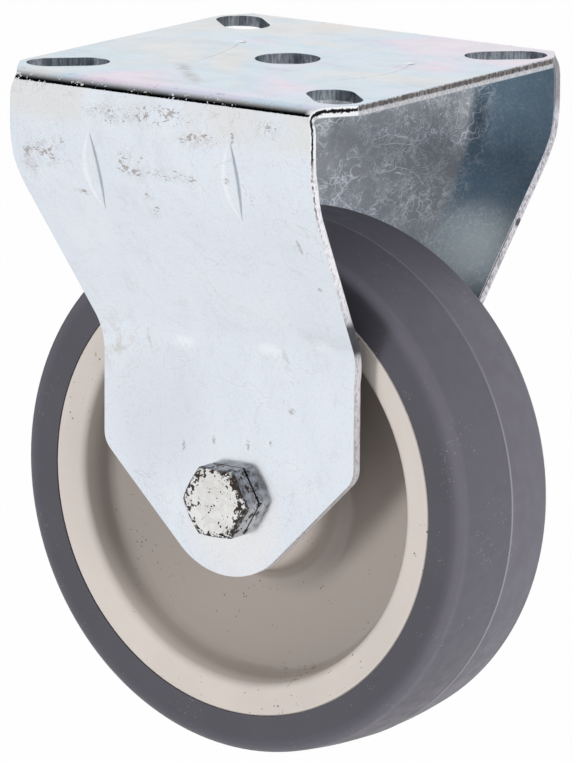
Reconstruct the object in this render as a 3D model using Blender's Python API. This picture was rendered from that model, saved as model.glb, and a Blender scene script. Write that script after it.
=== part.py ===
"""Fixed castor: a folded sheet fork with a top plate, and a tyred wheel turning on a roller bearing.

Metres, +Z up. X is the way the castor rolls, Y is the axle, and the origin lies on the floor
straight under the axle. Every running or seating clearance is named, and each fit is worked out
from the sizes of the two pieces that meet there.
"""
import math

import bmesh
import bpy
from mathutils import Matrix, Vector

# Wheel
WHEEL_DIAMETER = 0.125
TREAD_WIDTH = 0.0356
CROWN_DROP = 0.0015
SHOULDER_RADIUS = 0.0014
TYRE_THICKNESS = 0.0098
RIM_WIDTH = 0.0360
RIM_RING_DEPTH = 0.0012
RIM_RING_WIDTH = 0.0052
RIM_LIP_RADIUS = 0.0030
DISH_FILLET = 0.0045
KEY_WIDTH = 0.0135
KEY_HEIGHT = 0.0032
WEB_WALL_AT_RIM = 0.0088
WEB_WALL_AT_HUB = 0.0056
HUB_LENGTH = 0.0370
HUB_END_WALL = 0.0056
HUB_DRAFT = 0.0034
HUB_FILLET = 0.0045
HUB_EDGE_RADIUS = 0.0010

# Roller bearing
ROLLER_COUNT = 10
ROLLER_DIAMETER = 0.0040
ROLLER_LENGTH = 0.0280
ROLLER_CHAMFER = 0.0004
CAGE_WALL = 0.0030
CAGE_RING_WIDTH = 0.0030
SLEEVE_WALL = 0.0022
WASHER_DIAMETER = 0.0260
WASHER_THICKNESS = 0.0010

# Axle bolt and lock nut
BOLT_DIAMETER = 0.0100
BOLT_LENGTH = 0.0600
BOLT_TIP_CHAMFER = 0.0009
ACROSS_FLATS = 0.0158
HEAD_HEIGHT = 0.0060
HEX_CHAMFER_ANGLE = math.radians(30)
HEX_FACE_SHARE = 0.94
NUT_HEX_HEIGHT = 0.0070
NUT_COLLAR_HEIGHT = 0.0030
NUT_COLLAR_DIAMETER = 0.0142
NUT_LIP = 0.0004
INSERT_WALL = 0.0010
INSERT_HEIGHT = 0.0018

# Bracket
OVERALL_HEIGHT = 0.1601
SHEET = 0.0025
PLATE_LENGTH = 0.0943
PLATE_WIDTH = 0.0990
FOLD_RADIUS = 0.0045
NECK_FROM_FOLD = 0.0110
NECK_RUN = 0.0101
NECK_NOTCH = 0.0056
RELIEF_RUN = 0.0040
RELIEF_DEPTH = 0.0011
LEG_TAPER = 0.0065
TAPER_END_ABOVE_AXLE = 0.0300
UPPER_BEND_SHARE = 0.32
UPPER_BEND_SPREAD = 0.58
LOWER_BEND_ABOVE_AXLE = 0.0350
LOWER_BEND_SPREAD = 0.080
TIP_CORNER_ABOVE_AXLE = 0.0080
TIP_CORNER_RADIUS = 0.0060
TIP_RADIUS = 0.0190
SLOT_WIDTH = 0.0110
SLOT_LENGTH = 0.0190
SLOT_FROM_END = 0.0101
SLOT_FROM_FOLD = 0.0158
CENTRE_HOLE_DIAMETER = 0.0150
RIB_SPACING = 0.0390
UPPER_RIB_DEPTH = 0.0014
UPPER_RIB_WIDTH = 0.0056
UPPER_RIB_LENGTH = 0.0210
LOWER_RIB_DEPTH = 0.0016
LOWER_RIB_WIDTH = 0.0096
LOWER_RIB_LENGTH = 0.0130

# Clearances
SEAT_GAP = 0.0003
BOLT_PLAY = 0.0003
ROLLER_PLAY = 0.0003
POCKET_PLAY = 0.0003
HUB_END_PLAY = 0.0003
SLEEVE_PLAY = 0.0003
TYRE_GAP = 0.0003
INSERT_PLAY = 0.0003

# Facets round a full turn
WHEEL_FACETS = 56
HUB_FACETS = 28
HEX_FACETS = 24
ROLLER_FACETS = 12

# Rows across the sheet stay at least this share of a facet away from each other
MIN_ROW_SHARE = 0.1

# Radii, worked outwards from the bolt
BOLT_RADIUS = BOLT_DIAMETER / 2
BOLT_HOLE_RADIUS = BOLT_RADIUS + BOLT_PLAY
SLEEVE_RADIUS = BOLT_HOLE_RADIUS + SLEEVE_WALL
ROLLER_RADIUS = ROLLER_DIAMETER / 2
ROLLER_PITCH_RADIUS = SLEEVE_RADIUS + ROLLER_PLAY + ROLLER_RADIUS
HUB_BORE_RADIUS = ROLLER_PITCH_RADIUS + ROLLER_RADIUS + ROLLER_PLAY
HUB_END_RADIUS = HUB_BORE_RADIUS + HUB_END_WALL
WHEEL_RADIUS = WHEEL_DIAMETER / 2
RIM_RADIUS = WHEEL_RADIUS - TYRE_THICKNESS - TYRE_GAP

# Places along the axle, worked outwards from the middle of the wheel
HUB_HALF = HUB_LENGTH / 2
WASHER_INNER_Y = HUB_HALF + HUB_END_PLAY
FORK_INNER_Y = WASHER_INNER_Y + WASHER_THICKNESS + SEAT_GAP
FORK_OUTER_Y = FORK_INNER_Y + SHEET
CLAMP_Y = FORK_OUTER_Y + SEAT_GAP

# Heights
AXLE_HEIGHT = WHEEL_RADIUS
LOWER_BEND_HEIGHT = AXLE_HEIGHT + LOWER_BEND_ABOVE_AXLE
UPPER_BEND_DROP = UPPER_BEND_SHARE * (OVERALL_HEIGHT - LOWER_BEND_HEIGHT)
UPPER_BEND_HEIGHT = OVERALL_HEIGHT - UPPER_BEND_DROP
TAPER_END_HEIGHT = AXLE_HEIGHT + TAPER_END_ABOVE_AXLE

# Widths of the blank, and the places punched in the plate
PLATE_HALF = PLATE_LENGTH / 2
LEG_TOP_HALF = PLATE_HALF - NECK_NOTCH
LEG_BOTTOM_HALF = LEG_TOP_HALF - LEG_TAPER
NECK_START = PLATE_WIDTH / 2 - NECK_FROM_FOLD
SLOT_CENTRE_X = PLATE_HALF - SLOT_FROM_END
SLOT_CENTRE_Y = PLATE_WIDTH / 2 - SLOT_FROM_FOLD


def clear_scene():
    """Remove whatever the open file holds."""
    for item in list(bpy.data.objects):
        bpy.data.objects.remove(item, do_unlink=True)


def make_material(name, colour, roughness, metallic):
    """One Principled material, its base colour given in linear values."""
    material = bpy.data.materials.new(name)
    material.use_nodes = True
    surface = material.node_tree.nodes["Principled BSDF"]
    surface.inputs["Base Color"].default_value = (*colour, 1.0)
    surface.inputs["Roughness"].default_value = roughness
    surface.inputs["Metallic"].default_value = metallic
    return material


def make_object(name, mesh_builder, material=None, location=(0, 0, 0)):
    """An object from a finished bmesh, with its normals turned outwards and shaded smooth."""
    bmesh.ops.recalc_face_normals(mesh_builder, faces=mesh_builder.faces)
    mesh = bpy.data.meshes.new(name)
    mesh_builder.to_mesh(mesh)
    mesh_builder.free()
    mesh.shade_smooth()
    mesh.set_sharp_from_angle(angle=math.radians(32))
    if material:
        mesh.materials.append(material)
    part = bpy.data.objects.new(name, mesh)
    part.location = location
    bpy.context.collection.objects.link(part)
    return part


def cut(part, tool):
    """Cut one object by another, which stays as a hidden guide."""
    tool.hide_render = True
    tool.display_type = "WIRE"
    boolean = part.modifiers.new("Cut", "BOOLEAN")
    boolean.operation = "DIFFERENCE"
    boolean.object = tool


def rounded_line(corners):
    """Points along straight runs; a corner (point, radius, steps) with a radius becomes an arc."""
    points = []
    for index, (place, radius, steps) in enumerate(corners):
        corner = Vector(place)
        if not radius:
            points.append(corner)
            continue
        back = (Vector(corners[index - 1][0]) - corner).normalized()
        ahead = (Vector(corners[(index + 1) % len(corners)][0]) - corner).normalized()
        half_angle = back.angle(ahead) / 2
        reach = radius / math.tan(half_angle)
        centre = corner + (back + ahead).normalized() * radius / math.sin(half_angle)
        spoke = corner + back * reach - centre
        turn = math.pi - 2 * half_angle
        if back.x * ahead.y - back.y * ahead.x > 0:
            turn = -turn
        for step in range(steps + 1):
            points.append(centre + Matrix.Rotation(turn * step / steps, 2) @ spoke)
    return points


def turned(profile, facets, closed_ring):
    """A body turned about Y from (y, radius) points: a closed section, or a shaft with flat ends."""
    builder = bmesh.new()
    rings = []
    for along, radius in profile:
        ring = []
        for index in range(facets):
            angle = 2 * math.pi * index / facets
            ring.append(builder.verts.new((radius * math.cos(angle), along, radius * math.sin(angle))))
        rings.append(ring)
    pairs = list(zip(rings, rings[1:]))
    if closed_ring:
        pairs.append((rings[-1], rings[0]))
    else:
        builder.faces.new(rings[0])
        builder.faces.new(rings[-1])
    for near, far in pairs:
        for index in range(facets):
            following = (index + 1) % facets
            builder.faces.new((near[index], near[following], far[following], far[index]))
    return builder


def prism(builder, outline, place, low, high):
    """Add an outline pushed from low to high, each corner placed in space by a function."""
    bottom = [builder.verts.new(place(a, b, low)) for a, b in outline]
    top = [builder.verts.new(place(a, b, high)) for a, b in outline]
    builder.faces.new(bottom)
    builder.faces.new(top)
    for index in range(len(outline)):
        following = (index + 1) % len(outline)
        builder.faces.new((bottom[index], bottom[following], top[following], top[index]))


def mirrored(half_profile):
    """A whole section from the half with y above zero, which starts and ends nearest the middle."""
    return list(half_profile) + [Vector((-along, radius)) for along, radius in reversed(half_profile)]


def half_width(run, height):
    """Half the sheet's width at a distance from the neck's start and a height above the floor."""
    narrowed = min(1.0, run / NECK_RUN)
    returned = min(1.0, max(0.0, (run - NECK_RUN) / RELIEF_RUN))
    tapered = (UPPER_BEND_HEIGHT - height) / (UPPER_BEND_HEIGHT - TAPER_END_HEIGHT)
    tapered = min(1.0, max(0.0, tapered))
    neck = NECK_NOTCH * narrowed + RELIEF_DEPTH * (narrowed - returned)
    return PLATE_HALF - neck - LEG_TAPER * tapered


def bump(distance, full_width):
    """A smooth hump, 1 in the middle and 0 beyond half its width."""
    share = min(1.0, abs(distance) / (full_width / 2))
    return math.cos(share * math.pi / 2) ** 2


def fold_line():
    """The sheet's outer face seen along X, from the neck of the plate down one leg to below its tip."""
    edge = PLATE_WIDTH / 2
    upper = Vector((edge, UPPER_BEND_HEIGHT))
    lower = Vector((FORK_OUTER_Y, LOWER_BEND_HEIGHT))
    slope = lower - upper
    turn = math.atan2(-slope.x, -slope.y)
    upper_radius = UPPER_BEND_SPREAD * (UPPER_BEND_DROP - FOLD_RADIUS) / math.tan(turn / 2)
    lower_radius = LOWER_BEND_SPREAD * slope.length / math.tan(turn / 2)
    corners = [((NECK_START, OVERALL_HEIGHT), 0, 0)]
    corners.append(((edge, OVERALL_HEIGHT), FOLD_RADIUS, 6))
    corners.append((upper, upper_radius, 8))
    corners.append((lower, lower_radius, 6))
    corners.append(((FORK_OUTER_Y, AXLE_HEIGHT - TIP_RADIUS - SHEET), 0, 0))
    return rounded_line(corners)


def with_rows(points, wanted):
    """Add rows to a line where it has none, each at a wanted distance from its first point."""
    rows = [(0.0, points[0])]
    for start, end in zip(points, points[1:]):
        reached = rows[-1][0]
        length = (end - start).length
        for place in sorted(wanted):
            share = (place - reached) / length
            if MIN_ROW_SHARE < share < 1 - MIN_ROW_SHARE:
                rows.append((place, start.lerp(end, share)))
        rows.append((reached + length, end))
    return rows


def run_nearest(rows, height):
    """The distance along the line of the row nearest to a height."""
    return min(rows, key=lambda row: abs(row[1].y - height))[0]


def fold_stations():
    """Each row across the sheet: its distance from the neck's start, its point and its normal."""
    points = fold_line()
    rows = with_rows(points, [])
    upper_run = run_nearest(rows, UPPER_BEND_HEIGHT)
    lower_run = run_nearest(rows, LOWER_BEND_HEIGHT)
    wanted = [NECK_RUN, NECK_RUN + RELIEF_RUN]
    for side in (-1, 1):
        wanted.append(upper_run + side * UPPER_RIB_LENGTH / 2)
        wanted.append(lower_run + side * LOWER_RIB_LENGTH / 2)
    rows = with_rows(points, wanted)
    stations = []
    for index, (run, point) in enumerate(rows):
        before = rows[max(index - 1, 0)][1]
        after = rows[min(index + 1, len(rows) - 1)][1]
        tangent = (point - before).normalized() + (after - point).normalized()
        tangent.normalize()
        stations.append((run, point, Vector((-tangent.y, tangent.x))))
    return stations


def rib_offset(across, run, upper_run, lower_run):
    """How far the stamped ribs push the sheet outwards: in at the upper bend, out at the lower."""
    distance = abs(abs(across) - RIB_SPACING / 2)
    upper = bump(distance, UPPER_RIB_WIDTH) * bump(run - upper_run, UPPER_RIB_LENGTH)
    lower = bump(distance, LOWER_RIB_WIDTH) * bump(run - lower_run, LOWER_RIB_LENGTH)
    return LOWER_RIB_DEPTH * lower - UPPER_RIB_DEPTH * upper


def rib_columns():
    """Places across the sheet where it needs a column of corners: the ribs and the middle."""
    columns = [0.0]
    for side in (-1, 1):
        for offset in (0.0, UPPER_RIB_WIDTH / 4, UPPER_RIB_WIDTH / 2, LOWER_RIB_WIDTH / 2):
            for hand in (-1, 1):
                columns.append(side * RIB_SPACING / 2 + hand * offset)
    return sorted(set(round(place, 7) for place in columns))


def folded_sheet():
    """The sheet's outer face as rows of quads, from one leg's end over the plate to the other's."""
    stations = fold_stations()
    upper_run = run_nearest(stations, UPPER_BEND_HEIGHT)
    lower_run = run_nearest(stations, LOWER_BEND_HEIGHT)
    builder = bmesh.new()
    rows = []
    for side in (-1, 1):
        ordered = reversed(stations) if side < 0 else stations
        for run, point, normal in ordered:
            edge = half_width(run, point.y)
            row = []
            for across in [-edge, *rib_columns(), edge]:
                place = point + normal * rib_offset(across, run, upper_run, lower_run)
                row.append(builder.verts.new((across, side * place.x, place.y)))
            rows.append(row)
    for near, far in zip(rows, rows[1:]):
        for index in range(len(near) - 1):
            builder.faces.new((near[index], near[index + 1], far[index + 1], far[index]))
    return builder


def stadium(centre, direction, length, width, steps):
    """A slot's outline: two half circles joined by straight sides."""
    heading = math.atan2(direction.y, direction.x)
    reach = (length - width) / 2
    points = []
    for end in (0, math.pi):
        middle = centre + Matrix.Rotation(heading + end, 2) @ Vector((reach, 0))
        for step in range(steps + 1):
            angle = heading + end - math.pi / 2 + math.pi * step / steps
            points.append(middle + Vector((math.cos(angle), math.sin(angle))) * width / 2)
    return points


def circle(radius, facets):
    """A round hole's outline about the origin."""
    angles = [2 * math.pi * index / facets for index in range(facets)]
    return [Vector((math.cos(angle), math.sin(angle))) * radius for angle in angles]


def tip_outline():
    """What is cut off below each leg: rounded corners, straight flanks and a round tip."""
    corner = Vector((LEG_BOTTOM_HALF, TIP_CORNER_ABOVE_AXLE))
    touch_angle = math.atan2(corner.y, corner.x) - math.acos(TIP_RADIUS / corner.length)
    touch = Vector((math.cos(touch_angle), math.sin(touch_angle))) * TIP_RADIUS
    above = corner + Vector((0, TIP_CORNER_RADIUS))
    right = rounded_line([(above, 0, 0), (corner, TIP_CORNER_RADIUS, 5), (touch, 0, 0)])[1:]
    steps = 8
    for step in range(1, steps):
        angle = touch_angle + (-math.pi / 2 - touch_angle) * step / steps
        right.append(Vector((math.cos(angle), math.sin(angle))) * TIP_RADIUS)
    right.insert(0, right[0] + Vector((SHEET * 2, 0)))
    left = [Vector((-point.x, point.y)) for point in reversed(right)]
    below = -TIP_RADIUS - SHEET * 3
    outline = right + [Vector((0, -TIP_RADIUS))] + left
    outline.append(Vector((left[-1].x, below)))
    outline.append(Vector((right[0].x, below)))
    return outline


def bracket_cutter():
    """Everything punched out of the blank: tips, axle holes, centre hole and four slots."""
    builder = bmesh.new()

    def along_axle(a, b, depth):
        return (a, depth, AXLE_HEIGHT + b)

    def through_plate(a, b, depth):
        return (a, b, depth)

    reach = PLATE_WIDTH / 2
    prism(builder, tip_outline(), along_axle, -reach, reach)
    prism(builder, circle(BOLT_HOLE_RADIUS, HEX_FACETS), along_axle, -reach, reach)
    low = OVERALL_HEIGHT - 2 * SHEET
    high = OVERALL_HEIGHT + SHEET
    prism(builder, circle(CENTRE_HOLE_DIAMETER / 2, HUB_FACETS), through_plate, low, high)
    for side_x in (-1, 1):
        for side_y in (-1, 1):
            centre = Vector((side_x * SLOT_CENTRE_X, side_y * SLOT_CENTRE_Y))
            outline = stadium(centre, centre, SLOT_LENGTH, SLOT_WIDTH, 8)
            prism(builder, outline, through_plate, low, high)
    return make_object("bracket_cutter", builder)


def make_bracket(material):
    """The fork and its plate, folded from one sheet."""
    bracket = make_object("bracket", folded_sheet(), material)
    sheet = bracket.modifiers.new("Sheet", "SOLIDIFY")
    sheet.thickness = SHEET
    sheet.offset = -1.0
    sheet.use_even_offset = True
    cut(bracket, bracket_cutter())


def hex_flats(name, low, high):
    """A six-sided tube that leaves a hexagon, with corners at the front and back of travel."""
    corner = ACROSS_FLATS / math.sqrt(3)
    section = [(low, corner), (high, corner), (high, 3 * corner), (low, 3 * corner)]
    return make_object(name, turned(section, 6, True), location=(0, 0, AXLE_HEIGHT))


def chamfer_section(face, inward):
    """A face at one end of a hexagon, with its chamfer out to beyond the corners."""
    face_radius = HEX_FACE_SHARE * ACROSS_FLATS / 2
    blank_radius = ACROSS_FLATS / math.sqrt(3) * 1.02
    depth = (blank_radius - face_radius) * math.tan(HEX_CHAMFER_ANGLE)
    return [(face, face_radius), (face + inward * depth, blank_radius)]


def make_axle_bolt(material):
    """Hexagon bolt put in from the near side, its head against that leg."""
    head_face = -CLAMP_Y - HEAD_HEIGHT
    tip = -CLAMP_Y + BOLT_LENGTH
    profile = chamfer_section(head_face, 1)
    profile.append((-CLAMP_Y, profile[-1][1]))
    profile.append((-CLAMP_Y, BOLT_RADIUS))
    profile.append((tip - BOLT_TIP_CHAMFER, BOLT_RADIUS))
    profile.append((tip, BOLT_RADIUS - BOLT_TIP_CHAMFER))
    bolt = make_object("axle_bolt", turned(profile, HEX_FACETS, False), material, (0, 0, AXLE_HEIGHT))
    flats = hex_flats("bolt_flats", head_face - SHEET, -CLAMP_Y + SEAT_GAP)
    cut(bolt, flats)


def make_lock_nut(steel, nylon):
    """Lock nut on the far side, with its nylon ring held in a collar."""
    face = CLAMP_Y
    hex_end = face + NUT_HEX_HEIGHT
    collar_end = hex_end + NUT_COLLAR_HEIGHT
    collar_radius = NUT_COLLAR_DIAMETER / 2
    ring_inner = BOLT_RADIUS + BOLT_PLAY
    ring_outer = ring_inner + INSERT_WALL
    groove = ring_outer + INSERT_PLAY
    ring_low = collar_end - NUT_LIP - INSERT_PLAY - INSERT_HEIGHT
    profile = chamfer_section(face, 1)
    profile += reversed(chamfer_section(hex_end, -1))
    profile.append((hex_end, collar_radius))
    profile.append((collar_end - NUT_LIP, collar_radius))
    profile.append((collar_end, collar_radius - NUT_LIP))
    profile.append((collar_end, ring_outer - INSERT_PLAY))
    profile.append((collar_end - NUT_LIP, ring_outer - INSERT_PLAY))
    profile.append((collar_end - NUT_LIP, groove))
    profile.append((ring_low - INSERT_PLAY, groove))
    profile.append((ring_low - INSERT_PLAY, ring_inner))
    profile.append((face, ring_inner))
    nut = make_object("lock_nut", turned(profile, HEX_FACETS, True), steel, (0, 0, AXLE_HEIGHT))
    cut(nut, hex_flats("nut_flats", face - SEAT_GAP / 2, hex_end + SEAT_GAP))
    section = [(ring_low, ring_inner), (ring_low, ring_outer)]
    section += [(ring_low + INSERT_HEIGHT, ring_outer), (ring_low + INSERT_HEIGHT, ring_inner)]
    make_object("nut_insert", turned(section, HEX_FACETS, True), nylon, (0, 0, AXLE_HEIGHT))


def make_ring(name, low, high, inner, outer, material):
    """A plain ring about the axle between two places along it."""
    section = [(low, inner), (low, outer), (high, outer), (high, inner)]
    make_object(name, turned(section, HUB_FACETS, True), material, (0, 0, AXLE_HEIGHT))


def make_axle_stack(material):
    """The sleeve that the bolt clamps between the legs, and the two thrust washers on it."""
    sleeve_end = FORK_INNER_Y - SEAT_GAP
    make_ring("axle_sleeve", -sleeve_end, sleeve_end, BOLT_HOLE_RADIUS, SLEEVE_RADIUS, material)
    bore = SLEEVE_RADIUS + SLEEVE_PLAY
    outer_y = WASHER_INNER_Y + WASHER_THICKNESS
    rim = WASHER_DIAMETER / 2
    make_ring("thrust_washer_near", -outer_y, -WASHER_INNER_Y, bore, rim, material)
    make_ring("thrust_washer_far", WASHER_INNER_Y, outer_y, bore, rim, material)


def make_cage(material):
    """The cage that keeps the rollers apart, open to both races."""
    pocket_half = ROLLER_LENGTH / 2 + POCKET_PLAY
    end = pocket_half + CAGE_RING_WIDTH
    inner = ROLLER_PITCH_RADIUS - CAGE_WALL / 2
    outer = ROLLER_PITCH_RADIUS + CAGE_WALL / 2
    section = [(-end, inner), (-end, outer), (end, outer), (end, inner)]
    facets = 4 * ROLLER_COUNT
    cage = make_object("roller_cage", turned(section, facets, True), material, (0, 0, AXLE_HEIGHT))
    builder = bmesh.new()
    width = ROLLER_RADIUS + POCKET_PLAY
    low = inner - ROLLER_PLAY * 2
    high = outer + ROLLER_PLAY * 2
    outline = [(low, -width), (high, -width), (high, width), (low, width)]
    for index in range(ROLLER_COUNT):
        turn = Matrix.Rotation(2 * math.pi * index / ROLLER_COUNT, 2)

        def around(out, side, along, turn=turn):
            spot = turn @ Vector((out, side))
            return (spot.x, along, spot.y)

        prism(builder, outline, around, -pocket_half, pocket_half)
    cut(cage, make_object("cage_pockets", builder, location=(0, 0, AXLE_HEIGHT)))
    return cage


def make_rollers(material, cage):
    """Steel rollers, each with its origin on its own axis and carried round by the cage."""
    half = ROLLER_LENGTH / 2
    slim = ROLLER_RADIUS - ROLLER_CHAMFER
    profile = [(-half, slim), (-half + ROLLER_CHAMFER, ROLLER_RADIUS)]
    profile += [(half - ROLLER_CHAMFER, ROLLER_RADIUS), (half, slim)]
    for index in range(ROLLER_COUNT):
        angle = 2 * math.pi * index / ROLLER_COUNT
        out = Vector((math.cos(angle), 0, math.sin(angle))) * ROLLER_PITCH_RADIUS
        name = f"roller_{index + 1:02d}"
        roller = make_object(name, turned(profile, ROLLER_FACETS, False), material)
        roller.parent = cage
        roller.location = out


def rim_seat(gap):
    """The moulded joint between wheel centre and tyre, half a section, spread outwards by a gap."""
    edge = RIM_WIDTH / 2
    key_half = KEY_WIDTH / 2 + gap
    base = RIM_RADIUS + gap
    top = base + KEY_HEIGHT
    return [(edge, base), (key_half + KEY_HEIGHT / 2, base), (key_half, top)]


def make_wheel_centre(material):
    """The moulded wheel centre: bored hub, dished web, and a rim with a key for the tyre."""
    edge = RIM_WIDTH / 2
    ring_inner = RIM_RADIUS - RIM_RING_WIDTH
    lip_y = edge - RIM_RING_DEPTH
    wall_radius = ring_inner - RIM_LIP_RADIUS
    rim_web_y = WEB_WALL_AT_RIM
    hub_web_y = WEB_WALL_AT_HUB
    hub_base = HUB_END_RADIUS + HUB_DRAFT
    half = [((HUB_HALF, HUB_BORE_RADIUS), 0, 0)]
    half.append(((HUB_HALF, HUB_END_RADIUS), HUB_EDGE_RADIUS, 1))
    half.append(((hub_web_y, hub_base), HUB_FILLET, 3))
    half.append(((rim_web_y, wall_radius - RIM_LIP_RADIUS / 4), DISH_FILLET, 3))
    half.append(((lip_y, wall_radius + RIM_LIP_RADIUS / 4), RIM_LIP_RADIUS, 3))
    half.append(((edge, RIM_RADIUS), 0, 0))
    points = rounded_line(half)
    points += [Vector(point) for point in rim_seat(0)[1:]]
    builder = turned(mirrored(points), WHEEL_FACETS, True)
    make_object("wheel_centre", builder, material, (0, 0, AXLE_HEIGHT))


def make_tyre(material):
    """The tyre moulded round the rim: slanted sides, rounded shoulders and a crowned tread."""
    seat = [(Vector(point), 0, 0) for point in reversed(rim_seat(TYRE_GAP))]
    tread_half = TREAD_WIDTH / 2
    shoulder = Vector((tread_half, WHEEL_RADIUS - CROWN_DROP))
    outline = seat + [(shoulder, SHOULDER_RADIUS, 3)]
    crown_radius = (tread_half ** 2 + CROWN_DROP ** 2) / (2 * CROWN_DROP)
    along = tread_half / 2
    drop = crown_radius - math.sqrt(crown_radius ** 2 - along ** 2)
    outline.append((Vector((along, WHEEL_RADIUS - drop)), 0, 0))
    half = rounded_line(outline)
    profile = mirrored(half)
    profile.insert(len(half), Vector((0, WHEEL_RADIUS)))
    builder = turned(profile, WHEEL_FACETS, True)
    make_object("tyre", builder, material, (0, 0, AXLE_HEIGHT))


def main():
    """Build every piece of the castor."""
    clear_scene()
    zinc = make_material("zinc", (0.72, 0.75, 0.79), 0.28, 1.0)
    bolt_steel = make_material("bolt_steel", (0.68, 0.67, 0.64), 0.35, 1.0)
    bearing_steel = make_material("bearing_steel", (0.55, 0.55, 0.56), 0.22, 1.0)
    nylon = make_material("nylon", (0.80, 0.82, 0.86), 0.45, 0.0)
    cage_plastic = make_material("cage_plastic", (0.05, 0.05, 0.055), 0.5, 0.0)
    polypropylene = make_material("polypropylene", (0.57, 0.52, 0.47), 0.42, 0.0)
    rubber = make_material("rubber", (0.105, 0.098, 0.12), 0.55, 0.0)
    make_bracket(zinc)
    make_axle_bolt(bolt_steel)
    make_lock_nut(bolt_steel, nylon)
    make_axle_stack(bearing_steel)
    cage = make_cage(cage_plastic)
    make_rollers(bearing_steel, cage)
    make_wheel_centre(polypropylene)
    make_tyre(rubber)


main()
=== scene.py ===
"""Dressing for the fixed castor: pressed bracket, moulded wheel, axle bolt and nut, finishes and studio."""
import math

import bpy
import numpy as np
from mathutils import Matrix, Vector
from mathutils.bvhtree import BVHTree


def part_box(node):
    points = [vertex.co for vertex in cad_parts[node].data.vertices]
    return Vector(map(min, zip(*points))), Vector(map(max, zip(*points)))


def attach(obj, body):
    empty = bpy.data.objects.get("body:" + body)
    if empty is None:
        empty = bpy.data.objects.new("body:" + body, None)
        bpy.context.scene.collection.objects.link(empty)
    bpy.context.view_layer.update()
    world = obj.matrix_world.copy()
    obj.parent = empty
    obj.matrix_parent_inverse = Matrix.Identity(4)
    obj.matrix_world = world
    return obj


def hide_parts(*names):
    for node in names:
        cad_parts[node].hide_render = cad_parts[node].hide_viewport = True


bl_info = {
    "name": "Fixed castor dressing",
    "version": (1, 0, 0),
    "blender": (4, 5, 0),
    "location": "3D View > Sidebar > Castor",
    "description": "Models and finishes the visible pieces of a fixed castor round its solid frame",
    "category": "Object",
}

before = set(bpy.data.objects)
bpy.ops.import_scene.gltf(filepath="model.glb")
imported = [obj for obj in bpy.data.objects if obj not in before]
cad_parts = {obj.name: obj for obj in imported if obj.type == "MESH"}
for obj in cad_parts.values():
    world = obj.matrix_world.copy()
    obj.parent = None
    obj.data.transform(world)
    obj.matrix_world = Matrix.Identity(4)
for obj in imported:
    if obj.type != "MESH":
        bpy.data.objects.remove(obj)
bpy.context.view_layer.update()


def middle(node):
    """The middle of a solid's box."""
    low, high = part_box(node)
    return (low + high) / 2


# Sizes read from the solids
PLATE_HALF_X, PLATE_HALF_Y, PLATE_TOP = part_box("bracket")[1]
BOLT_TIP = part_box("axle_bolt")[1].y
NUT_LOW, NUT_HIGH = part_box("lock_nut")
AXLE_Z = middle("tyre").z
WHEEL_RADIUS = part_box("tyre")[1].z - AXLE_Z
HUB_BORE_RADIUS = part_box("roller_cage")[1].x + 0.0008
HUB_HALF = -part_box("wheel_centre")[0].y
RIM_HALF = 0.0180
SEAT = 0.0003

# Sheet of the bracket
SHEET = 0.0025
FORK_OUTER_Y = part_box("axle_sleeve")[1].y + SEAT + SHEET
FOLD_RADIUS = 0.0045
NECK_START = PLATE_HALF_Y - 0.0110
NECK_RUN = 0.0101
NECK_NOTCH = 0.0056
RELIEF_RUN = 0.0040
RELIEF_DEPTH = 0.0011
LEG_TAPER = 0.0065
LOWER_BEND_Z = AXLE_Z + 0.0350
TAPER_END_Z = AXLE_Z + 0.0300
UPPER_BEND_DROP = 0.32 * (PLATE_TOP - LOWER_BEND_Z)
UPPER_BEND_Z = PLATE_TOP - UPPER_BEND_DROP
UPPER_BEND_REACH = 0.58 * (UPPER_BEND_DROP - FOLD_RADIUS)
LOWER_BEND_REACH = 0.0040
TIP_CORNER_RISE = 0.0080
TIP_CORNER_RADIUS = 0.0060
TIP_RADIUS = 0.0190
SLOT_WIDTH = 0.0110
SLOT_LENGTH = 0.0190
SLOT_X = PLATE_HALF_X - 0.0101
SLOT_Y = PLATE_HALF_Y - 0.0158
CENTRE_HOLE_RADIUS = 0.0075
AXLE_HOLE_RADIUS = 0.0053
RIB_X = 0.0195
EDGE_STEPS = 5

# Ribs: depth, width and length; the left upper one sits a little lower than the right one
UPPER_RIB = (0.0016, 0.0050, 0.0205)
UPPER_RIB_BACK = (0.0005, 0.0090, 0.0260)
LOWER_RIB = (0.0016, 0.0096, 0.0130)
RIB_SHIFT = {-1: 0.0012, 1: -0.0010}
RIB_MIDDLE_Z = {-1: 0.1388, 1: 0.1408}
RIB_HALF_Z = 0.0094

# Bolt and nut
BOLT_RADIUS = 0.0050
TIP_CHAMFER = 0.0009
THREAD_TURNS = 11
ACROSS_FLATS = 0.0156
HEAD_HEIGHT = 0.0055
HEAD_DROP = 0.0010
HEX_CORNER = ACROSS_FLATS / math.sqrt(3)
HEX_FACE_RADIUS = 0.94 * ACROSS_FLATS / 2
HEX_CHAMFER_ANGLE = math.radians(30)
NUT_HEX_HEIGHT = 0.0070
NUT_COLLAR_RADIUS = 0.0071

# Wheel centre and tyre
RIM_RADIUS = WHEEL_RADIUS - 0.0098 - SEAT
RIM_WALL = RIM_RADIUS - 0.0078
RIM_WALL_LEAN = 0.00075
HUB_WALL = 0.0056
WEB_HALF_AT_HUB = 0.0056
WEB_HALF_AT_RIM = 0.0088
WEB_CORNER = 0.0045
RIM_SEAT_KEY = 0.0135
RIM_SEAT_RISE = 0.0032
TYRE_SEAT = 0.00004
TREAD_HALF = 0.0178
CROWN_DROP = 0.0015
CROWN_ROOM = 0.00012

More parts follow.
